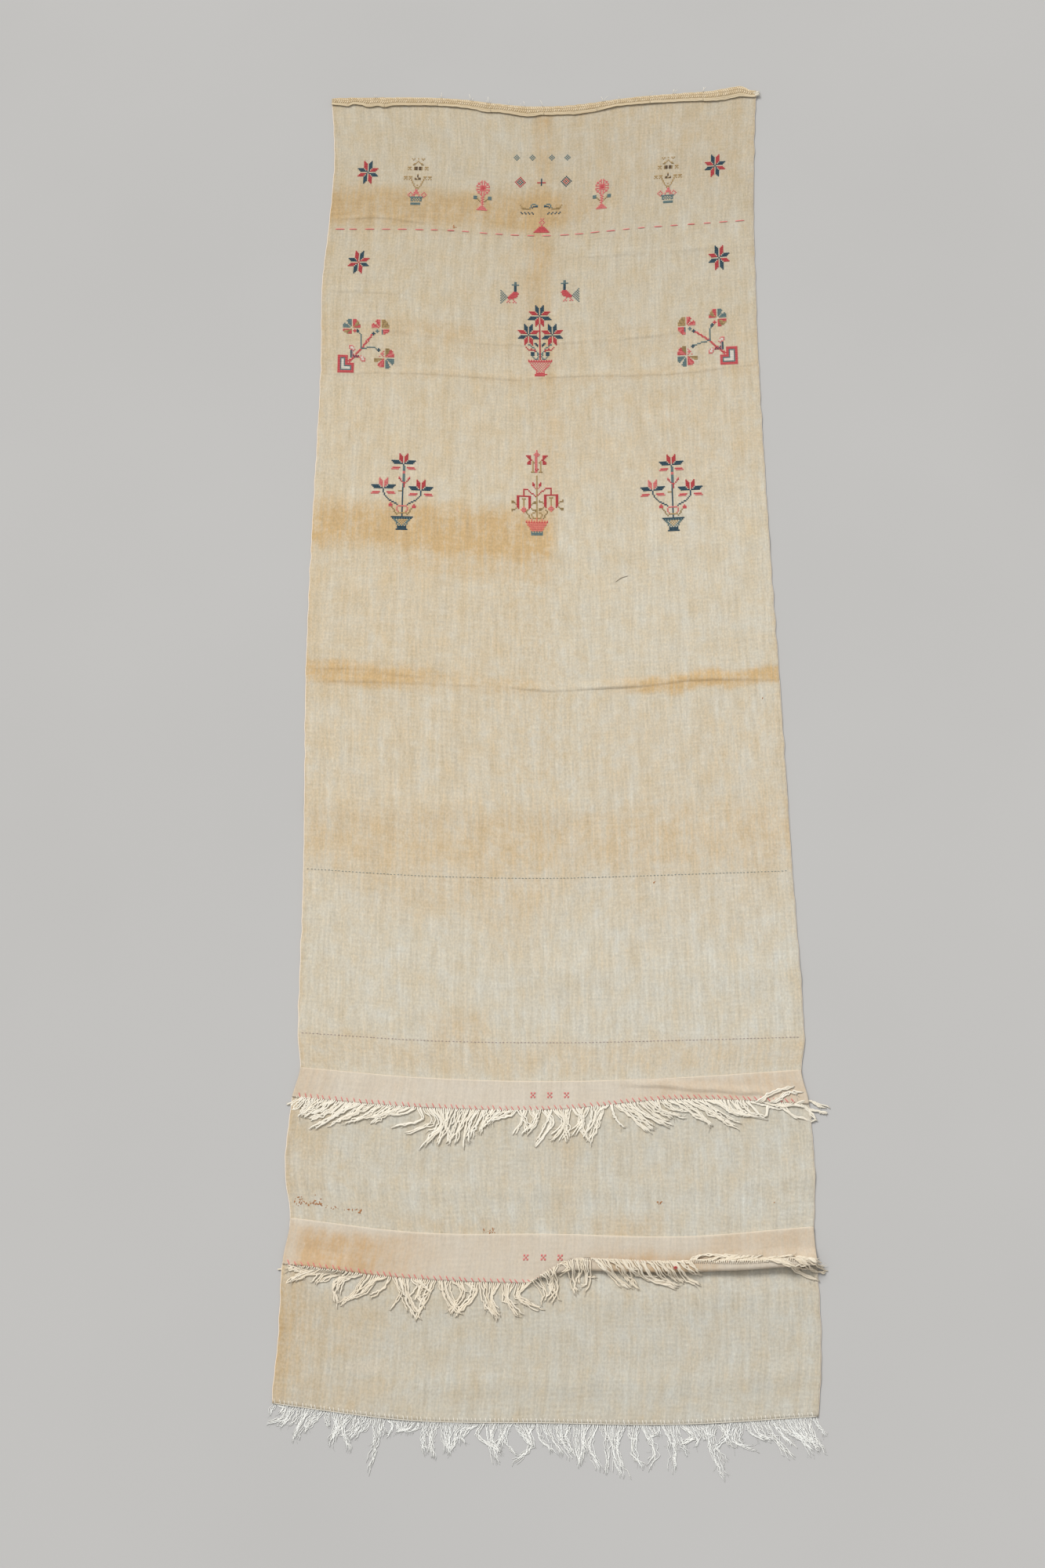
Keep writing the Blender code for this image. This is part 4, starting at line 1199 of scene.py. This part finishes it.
# Where the motifs stand: x and y of the base, -1 where it is mirrored, and its own choices
MOTIFS = (
    (corner_star, -0.1803, 0.5707, 1, "deep_blue", "red", "deep_blue"),
    (corner_star, -0.1861, 0.4633, 1, "deep_blue", "red", "red"),
    (corner_star, 0.1664, 0.5790, 1, "red", "deep_blue", "deep_blue"),
    (corner_star, 0.1665, 0.4688, 1, "red", "deep_blue", "deep_blue"),
    (tan_plant, -0.1320, 0.5320, 1),
    (tan_plant, 0.1174, 0.5342, -1),
    (rose, -0.0664, 0.5257, 1),
    (rose, 0.0520, 0.5276, -1),
    (small_mark, -0.0319, 0.5860, 1),
    (small_mark, -0.0162, 0.5860, 1),
    (small_mark, 0.0034, 0.5860, 1),
    (small_mark, 0.0191, 0.5860, 1),
    (checker_mark, -0.0285, 0.5530, 1, "red", "deep_blue"),
    (checker_mark, 0.0175, 0.5545, 1, "deep_blue", "red"),
    (plus, -0.0074, 0.5555, 1),
    (beasts, -0.0080, 0.5236, 1),
    (mound, -0.0071, 0.4989, 1),
    (bird, -0.0376, 0.4167, 1),
    (bird, 0.0192, 0.4185, -1),
    (starry_plant, -0.0090, 0.3330, 1),
    (tall_plant, -0.1383, 0.1662, 1),
    (tall_plant, 0.1141, 0.1648, 1),
    (tulip_plant, -0.0126, 0.1600, 1),
    (corner_flowers, -0.2024, 0.3375, 1,
     (18, 19), (11, 35), (34, 35), (37, 12), 7, 4, (15, 33), (32, 18)),
    (corner_flowers, 0.1802, 0.3470, -1,
     (21, 19), (15, 36), (40, 31), (40, 8), 8, 6, (19, 31), (35, 15)),
)
# The flaps' marks: their line, and the x of each
UPPER_MARKS = (-0.3698, (-0.0172, -0.0035, 0.0109))
LOWER_MARKS = (-0.5040, (-0.0231, -0.0092, 0.0048))
MARK_SIZE = 1.12          # size of their stitches


def spaced(first, last, count, stray, rng):
    """Sides spread evenly, each astray by up to a share of their spacing."""
    for k in range(count):
        yield first + (last - first) * (k + rng.uniform(-stray, stray)) / count


def sewn(place, rises, over=0.0):
    """A stitch's path: place gives the face at each share of it, and rises its arch."""
    path = []
    for share, rise in rises:
        point = place(share)
        point.z += (STITCH_ARCH + over) * rise - STITCH_SINK * (1 - rise)
        path.append(point)
    return path


def cross(threads, face, side, line, size):
    """One cross-stitch: two arched threads, the second over the first."""
    for way, over in ((1, 0.0), (-1, THREAD_HIGH * 0.55)):
        shift = threads.rng.uniform(-0.06, 0.06)
        reach = (0.98 + shift) * CELL_WIDE * size / 2 / HALF_WIDTH
        rise = way * (0.98 - shift) * CELL_HIGH * size / 2
        path = sewn(lambda t: face(side + t * reach, line + t * rise), CROSS_RISES, over)
        threads.add(path, THREAD_WIDE * size * threads.rng.uniform(0.9, 1.08), THREAD_HIGH)


def stitch(threads, face, motif, x, y, facing=1, choices=(), size=1.0):
    """Works a motif on a face, snapped to the weave."""
    cells = {}
    motif(Pen(cells, (1,)), Pen(cells, (-1, 1)), *choices)
    line = round(line_at(x, y) / WEFT_PITCH) * WEFT_PITCH
    middle = round(side_at(x, line) * HALF_WIDTH / WARP_PITCH) * WARP_PITCH
    for (column, row), colour in sorted(cells.items()):
        side = (middle + facing * column * CELL_WIDE * size) / HALF_WIDTH
        cross(threads[colour], face, side, line + row * CELL_HIGH * size, size)


def running(threads, rng, line, first, last, pitch, length, wide):
    """A running stitch along a weft line."""
    for start in spaced(first, last, int((last - first) * HALF_WIDTH / pitch), 0.08, rng):
        reach = length * rng.uniform(0.85, 1.15) / HALF_WIDTH
        drift = rng.uniform(-0.0002, 0.0002)
        path = sewn(lambda t: panel_top(start + reach * t, line + drift * t), RUNNING_RISES)
        threads.add(path, wide, THREAD_HIGH)


def upper_face(side, line):
    """The first flap's face by line."""
    return upper_flap_point(side, FIRST_JOIN + FLAP_LAP - line) + UP * LINEN


def lower_face(side, line):
    """The second flap's face by line."""
    return lower_flap_point(side, SECOND_JOIN + FLAP_LAP - line) + UP * LINEN


def embroidery():
    """All the cross-stitch, and the running stitches across the towel."""
    threads = {name: Strands(f"stitches {name}") for name in THREADS}
    for motif, x, y, facing, *choices in MOTIFS:
        stitch(threads, panel_top, motif, x, y, facing, choices)
    for face, line, places in ((upper_face, *UPPER_MARKS), (lower_face, *LOWER_MARKS)):
        for x in places:
            stitch(threads, face, flap_mark, x, line, size=MARK_SIZE)
    rng = random.Random("running stitches")
    for name, *row in RUNNING:
        running(threads[name], rng, *row)
    return threads


def whip_stitches(threads, point_at, depths, rng):
    """Slanted stitches over a flap's lower edge."""
    first, last = WHIP_ENDS
    lean = WHIP_SLANT / HALF_WIDTH
    for side in spaced(first, last, int((last - first) * HALF_WIDTH / WHIP_PITCH), 0.12, rng):
        depth = spline(SIDES, depths, side)
        inside = WHIP_DEPTH * rng.uniform(0.85, 1.15)
        path = [flap_face(point_at, side + lean * share, depth - inside * (1 - share),
                          LINEN + STITCH_ARCH * rise)
                for share, rise in WHIP_RISES]
        over = flap_face(point_at, side + lean * 1.15, depth, LINEN * 0.4)
        path.append(over + (path[-1] - path[-2]).normalized() * 0.0005)
        threads.add(path, WHIP_WIDE, THREAD_HIGH * 1.2)


def smooth_path(points, steps):
    """Points along a smooth curve through the given ones."""
    knots = [0.0]
    for a, b in zip(points, points[1:]):
        knots.append(knots[-1] + max((b - a).length, 1e-5))
    ways = [[point[axis] for point in points] for axis in range(3)]
    return [Vector([spline(knots, way, spot) for way in ways])
            for spot in evenly(0.0, knots[-1], steps)]


def flap_edge(point_at, depths):
    """The lower edge of a flap and the way that the cloth faces there."""
    def edge(side):
        depth = spline(SIDES, depths, side)
        end, before = point_at(side, depth), point_at(side, depth - 0.002)
        return end + UP * 0.0003, (end - before).normalized()
    return edge


def foot_edge(side):
    """The towel's foot."""
    x, y = ground(side, FOOT)
    return Vector((x, y, PANEL_UNDER + LINEN / 2)), Vector((0.0, -1.0, 0.0))


def under_upper(point):
    """Height of what lies under the first fringe's yarns."""
    side = side_at(point.x, FIRST_JOIN)
    along = ground(side, FIRST_JOIN)[1] + FLAP_LAP - point.y
    if abs(side) > 1:
        return 0.0
    if along < spline(SIDES, UPPER_DEPTH, side):
        return upper_flap_point(side, along).z + LINEN
    return REST


def under_lower(point):
    """Height of what lies under the second fringe's yarns, also where the flap is turned up."""
    side = side_at(point.x, SECOND_JOIN)
    along = ground(side, SECOND_JOIN)[1] + FLAP_LAP - point.y
    if abs(side) > 1:
        return 0.0
    fold, depth = eased(TURN, 2, side), spline(SIDES, LOWER_DEPTH, side)
    edge = lower_flap_point(side, depth)
    if turn_angle(side, depth) < math.pi / 2:
        over = along < depth
    else:
        over = point.y > lower_flap_point(side, fold).y - TURN_RADIUS
        if over and point.y < edge.y:
            return edge.z
    return lower_flap_point(side, along).z + LINEN if over else REST


def drape(path, support):
    """Lets a yarn down on what lies under it, held taut where it bridges a step."""
    for i, point in enumerate(path[2:], start=2):
        point.z = support(point)
    floor_at = [point.z for point in path]
    last = len(path) - 1
    for _ in range(DRAPE_ROUNDS):
        for i in range(2, last + 1):
            between = (path[i - 1].z + path[min(i + 1, last)].z) / 2 - DRAPE_SAG
            path[i].z = max(floor_at[i], between)


def yarn_path(rng, root, way, bend, close, stray, level):
    """The way of a yarn from its root through a lock's middle to its tip."""
    right, down, tip_right, tip_down = bend
    reach = rng.uniform(0.78, 1.05)
    middle = Vector((right + close + rng.gauss(0, stray * 0.6), -down, 0.0))
    tip = Vector((tip_right * reach + close + rng.gauss(0, stray), -tip_down * reach, 0.0))
    path = smooth_path([root - way * ROOT_IN, root + way * ROOT_OUT, root + middle, root + tip],
                       YARN_STEPS)
    phase = rng.uniform(0.0, 4.0) + 7 * level
    sway = stray * (0.6 + math.hypot(tip_right, tip_down) / LONG_LOCK)
    for i, point in enumerate(path):
        loose = sway * min(i / 4, 1.0)
        point.x += loose * noise.noise(Vector((phase, i * 0.74, 1.0)))
        point.y += loose * noise.noise(Vector((phase, i * 0.74, 7.0)))
    return path


def fray(strands, path, wide):
    """A fine fibre that leaves a yarn near its tip."""
    rng = strands.rng
    start = path[rng.randint(len(path) - 5, len(path) - 2)]
    way = (path[-1] - path[-3]).normalized()
    way.z = max(way.z, 0.0)
    aside = Vector((way.y, -way.x, 0.0)) * rng.uniform(-0.8, 0.8)
    reach = rng.uniform(0.0025, 0.0060)
    fibre = [start + (way + aside * t) * (reach * t) for t in (0.0, 0.4, 0.75, 1.0)]
    strands.add(fibre, wide * 0.28, sides=3, tip=0.5)


def fringe(name, edge, locks, support, surface, ends, finer, wide, stray):
    """Yarns side by side along an edge, in locks that bend through their middles.

    ends are its first and last side, finer is how many yarns are drawn for each one counted
    in the locks, wide is their width and stray is how far they leave the way of their lock.
    """
    strands = Strands(name)
    rng = strands.rng
    total = sum(lock[-1] for lock in locks)
    pitch = (ends[1] - ends[0]) * HALF_WIDTH / total
    used = 0
    for level, (*bend, yarns) in enumerate(locks):
        bend = [MM * value for value in bend]
        for k in range(yarns * finer):
            spot = (k + 0.5) / finer
            place = (used + spot + rng.uniform(-0.15, 0.15)) / total
            root, way = edge(ends[0] + (ends[1] - ends[0]) * place)
            close = -LOCK_CLOSE * pitch * (spot - yarns / 2)
            path = yarn_path(rng, root, way, bend, close, stray, level)
            drape(path, support)
            lift = wide * (0.28 + 0.14 * (level % 3) + rng.uniform(0.0, 0.22))
            for i, point in enumerate(path):
                point.z += lift * min(i / 3, 1.0)
            strands.add(path, wide * rng.uniform(0.80, 1.1), wide * 0.52, YARN_SIDES, tip=0.5)
            fray(strands, path, wide)
        used += yarns
    piece = strands.build(name, surface, "fringe_yarn")
    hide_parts(name)
    return piece


def edge_threads():
    """The weft's turns along both long edges."""
    strands = Strands("selvedges")
    for side in (-1.0, 1.0):
        for first, last in ((HEAD, FIRST_JOIN), (FIRST_JOIN, SECOND_JOIN), (SECOND_JOIN, FOOT)):
            lines = evenly(first, last, round((first - last) / EDGE_STEP))
            path = [panel_top(side, line) - UP * LINEN / 2 for line in lines]
            strands.add(path, EDGE_WIDE, sides=5)
    return strands


def flap_folds():
    """The folded top edge of both flaps."""
    strands = Strands("flap folds")
    for point_at in (upper_flap_point, lower_flap_point):
        path = [point_at(side, 0.0003) + UP * LINEN * 0.1 for side in evenly(-1.0, 1.0, 160)]
        strands.add(path, 0.0013, 0.0014, sides=6)
    return strands


def foot_stitches(threads):
    """Small pale overcast stitches along the foot, and the thread that they hold."""
    for side in spaced(-0.992, 0.992, FOOT_STITCHES, 0.2, threads.rng):
        path = [panel_top(side + FOOT_SLANT * share, FOOT + FOOT_DEPTH * (1 - share))
                + UP * (STITCH_ARCH * rise)
                for share, rise in FOOT_RISES]
        end = panel_top(side + FOOT_SLANT, FOOT)
        path.append(Vector((end.x, end.y - FOOT_WIDE, PANEL_UNDER + LINEN / 3)))
        threads.add(path, FOOT_WIDE, THREAD_HIGH)
    held = [panel_top(side, FOOT + 0.0002) - UP * LINEN / 2 for side in evenly(-1.0, 1.0, 120)]
    threads.add(held, 0.0010, sides=5)


def specks(threads):
    """Rust specks."""
    rng = random.Random("specks")
    for side, line, count, reach_side, reach_line in SPECKS:
        for _ in range(count):
            at = side + reach_side * rng.uniform(-1, 1), line + reach_line * rng.gauss(0, 0.6)
            size = rng.uniform(0.0004, 0.0011)
            turn = rng.uniform(0, math.pi)
            way = Vector((math.cos(turn), math.sin(turn), 0.0)) * size
            path = [panel_top(*at) + UP * 0.00004 + way * t for t in (-1.0, -0.3, 0.4, 1.0)]
            threads.add(path, size * 1.1, 0.0002, sides=5, tip=0.4)


def strays(threads):
    """A loose dark fibre and a red knot."""
    fibre = [panel_top(*at) + UP * 0.0003 for at in LOOSE_FIBRE]
    threads["brown"].add(smooth_path(fibre, 10), 0.00035, tip=0.3)
    knot = lower_flap_point(*RED_KNOT)
    knot.z = under_lower(knot) + 0.0008
    loop = [knot + Vector((0.0011 * math.cos(t * 1.3), 0.0008 * math.sin(t * 1.3), 0.0002 * t))
            for t in range(7)]
    threads["red"].add(smooth_path(loop, 14), 0.0010, sides=5)


def tape_threads():
    """The tape's slanted threads, and apart from them its paler borders."""
    strands, border = Strands("tape threads"), Strands("tape border")
    for side in evenly(-0.985, 0.985, TAPE_THREADS)[:-1]:
        for start, end, lean in TAPE_SLANTS:
            path = []
            for share, rise in TAPE_RISES:
                at = side + lean * (share - 0.5) + strands.rng.uniform(-0.0006, 0.0006)
                point = tape_point(at, start + (end - start) * share)
                path.append(point + UP * (LINEN + THREAD_HIGH * rise))
            strands.add(path, 0.0015, 0.0005)
    for share, wide in TAPE_BORDERS:
        for k in range(-4, 4):
            sides = evenly(k / 4, (k + 1) / 4, 40)
            path = [tape_point(side, share) + UP * LINEN * 0.95 for side in sides]
            border.add(path, wide, 0.0006, sides=5)
    return strands, border


def frayed_ends():
    """Pale thread ends along the tape's upper edge and at its right end."""
    strands = Strands("frayed ends")
    rng = strands.rng
    for side in FRAYS:
        for _ in range(rng.randint(1, 3)):
            root = tape_point(side + rng.uniform(-0.012, 0.012), 0.1) + UP * LINEN
            reach = rng.uniform(0.003, 0.0085)
            lean = rng.uniform(-0.4, 0.7)
            path = [root + Vector((lean * reach * t * t, reach * t, 0.0016 * math.sin(2.6 * t)))
                    for t in (0.0, 0.3, 0.6, 0.85, 1.0)]
            strands.add(path, rng.uniform(0.0003, 0.0006), tip=0.4)
    for share in evenly(0.15, 0.87, 8):
        root = tape_point(0.985, share) + UP * LINEN * rng.uniform(0.3, 0.9)
        reach = rng.uniform(0.005, 0.008)
        path = [root + Vector((reach * t, reach * t * t * rng.uniform(-0.2, 0.35), 0.0))
                for t in (0.0, 0.4, 0.75, 1.0)]
        strands.add(path, rng.uniform(0.0006, 0.0011), tip=0.4)
    return strands


def floor_material():
    """A plain pale, slightly mottled surface."""
    r = Recipe("pale floor", 0.85)
    share = r.noise(r.node("TexCoord", output="Object"), (3, 3, 3), 3.0)
    return r.finish(r.blend(share, (0.43, 0.42, 0.405), (0.47, 0.46, 0.445)))


def add_light():
    """A soft light from the upper left, and a pale world."""
    key = bpy.data.lights.new("key", "SUN")
    key.energy = 2.8
    key.angle = math.radians(26)
    holder = bpy.data.objects.new("key", key)
    holder.rotation_euler = Vector((0.55, -0.85, -0.95)).to_track_quat("-Z", "Y").to_euler()
    bpy.context.scene.collection.objects.link(holder)
    world = bpy.context.scene.world or bpy.data.worlds.new("world")
    bpy.context.scene.world = world
    world.use_nodes = True
    background = world.node_tree.nodes["Background"].inputs
    background["Color"].default_value = (0.98, 0.99, 1.0, 1.0)
    background["Strength"].default_value = 0.60
    bpy.context.scene.view_settings.view_transform = "Standard"


def add_camera():
    """A camera above the foot, tilted towards the head."""
    lens = bpy.data.cameras.new("camera")
    lens.lens = 50.0
    lens.sensor_width = 36.0
    camera = bpy.data.objects.new("camera", lens)
    camera.location = (-0.026, -0.822, 1.7765)
    camera.rotation_euler = (math.radians(22.43), 0.0, 0.0)
    bpy.context.scene.collection.objects.link(camera)
    bpy.context.scene.camera = camera


def studio():
    """Floor, light and camera."""
    bpy.ops.mesh.primitive_plane_add(size=14.0, location=(0.0, 0.0, -0.0002))
    floor = bpy.context.object
    floor.name = "floor"
    floor.data.materials.append(floor_material())
    add_light()
    add_camera()


def needlework():
    """Works every thread that is sewn, one piece for each colour."""
    threads = embroidery()
    rng = random.Random("whip stitches")
    for point_at, depths in ((upper_flap_point, UPPER_DEPTH), (lower_flap_point, LOWER_DEPTH)):
        whip_stitches(threads["pink"], point_at, depths, rng)
    foot_stitches(threads["light"])
    specks(threads["rust"])
    strays(threads)
    for name, (colour, other, slot) in THREADS.items():
        # each thread's ply grooves get painted shade, down to the default dark of 0.80
        surface = thread_material(f"{name} thread", colour, other, gloss=0.5)
        threads[name].build(f"stitches_{name}" if name != "rust" else "specks", surface, slot)


def edgings(yarn):
    """Selvedges, the flaps' folds, the tape's threads and its frayed ends."""
    # each of these materials darkens its ply grooves as painted shade; dark sets how far
    edge_thread = thread_material("selvedge thread", (0.90, 0.78, 0.64), (0.84, 0.70, 0.55))
    edge_threads().build("selvedges", edge_thread, "linen")
    fold = thread_material("flap fold", (0.74, 0.65, 0.52), (0.72, 0.60, 0.45), dark=0.95)
    flap_folds().build("flap_folds", fold, "flap_linen")
    slanted, border = tape_threads()
    tape_thread = thread_material("tape thread", (0.80, 0.66, 0.46), (0.62, 0.46, 0.26), ply=0.003)
    slanted.build("tape_threads", tape_thread, "tape")
    pale = thread_material("tape border", (0.74, 0.62, 0.43), (0.62, 0.48, 0.29), dark=0.9)
    border.build("tape_borders", pale, "tape")
    frayed_ends().build("frayed_ends", yarn, "fringe_yarn")


def main():
    """Dresses the towel."""
    studio()
    linen = linen_material("linen", (0.598, 0.602, 0.556), (0.717, 0.565, 0.346),
                           (0.625, 0.430, 0.215), streaks=0.10)
    flap_linen = linen_material("flap linen", (0.662, 0.603, 0.510), (0.710, 0.587, 0.436),
                                (0.632, 0.434, 0.245), streaks=0.05, uneven=0.55)
    tape = linen_material("tape", (0.64, 0.52, 0.34), (0.66, 0.51, 0.31), (0.58, 0.41, 0.20),
                          streaks=0.10)
    # dark sets the painted shade in the grooves between the yarns' plies
    yarn = thread_material("fringe yarn", (0.84, 0.785, 0.67), (0.76, 0.685, 0.55), dark=0.90)
    brown_yarn = thread_material("lower fringe yarn", (0.80, 0.72, 0.585), (0.70, 0.60, 0.45),
                                 dark=0.90)
    foot_yarn = thread_material("foot yarn", (0.92, 0.92, 0.88), (0.82, 0.80, 0.74), dark=0.92)
    upper = panel("panel_upper", HEAD, FIRST_JOIN + JOIN_GAP, linen)
    middle = panel("panel_middle", FIRST_JOIN - JOIN_GAP, SECOND_JOIN + JOIN_GAP, linen)
    lower = panel("panel_lower", SECOND_JOIN - JOIN_GAP, FOOT, linen)
    heading = heading_tape(tape)
    flap_upper = flap("flap_upper", upper_flap_point, UPPER_DEPTH, FIRST_JOIN, flap_linen)
    flap_lower = flap("flap_lower", lower_flap_point, LOWER_DEPTH, SECOND_JOIN, flap_linen)
    upper_fringe = fringe("fringe_upper", flap_edge(upper_flap_point, UPPER_DEPTH),
                          UPPER_LOCKS, under_upper, yarn,
                          ends=(-0.985, 0.975), finer=1, wide=0.00150, stray=0.0013)
    lower_fringe = fringe("fringe_lower", flap_edge(lower_flap_point, LOWER_DEPTH),
                          LOWER_LOCKS, under_lower, brown_yarn,
                          ends=(-0.990, 0.980), finer=1, wide=0.00142, stray=0.0013)
    foot_fringe = fringe("fringe_foot", foot_edge, FOOT_LOCKS, lambda point: 0.0, foot_yarn,
                         ends=(-0.995, 0.995), finer=2, wide=0.00052, stray=0.0016)
    needlework()
    edgings(yarn)


main()
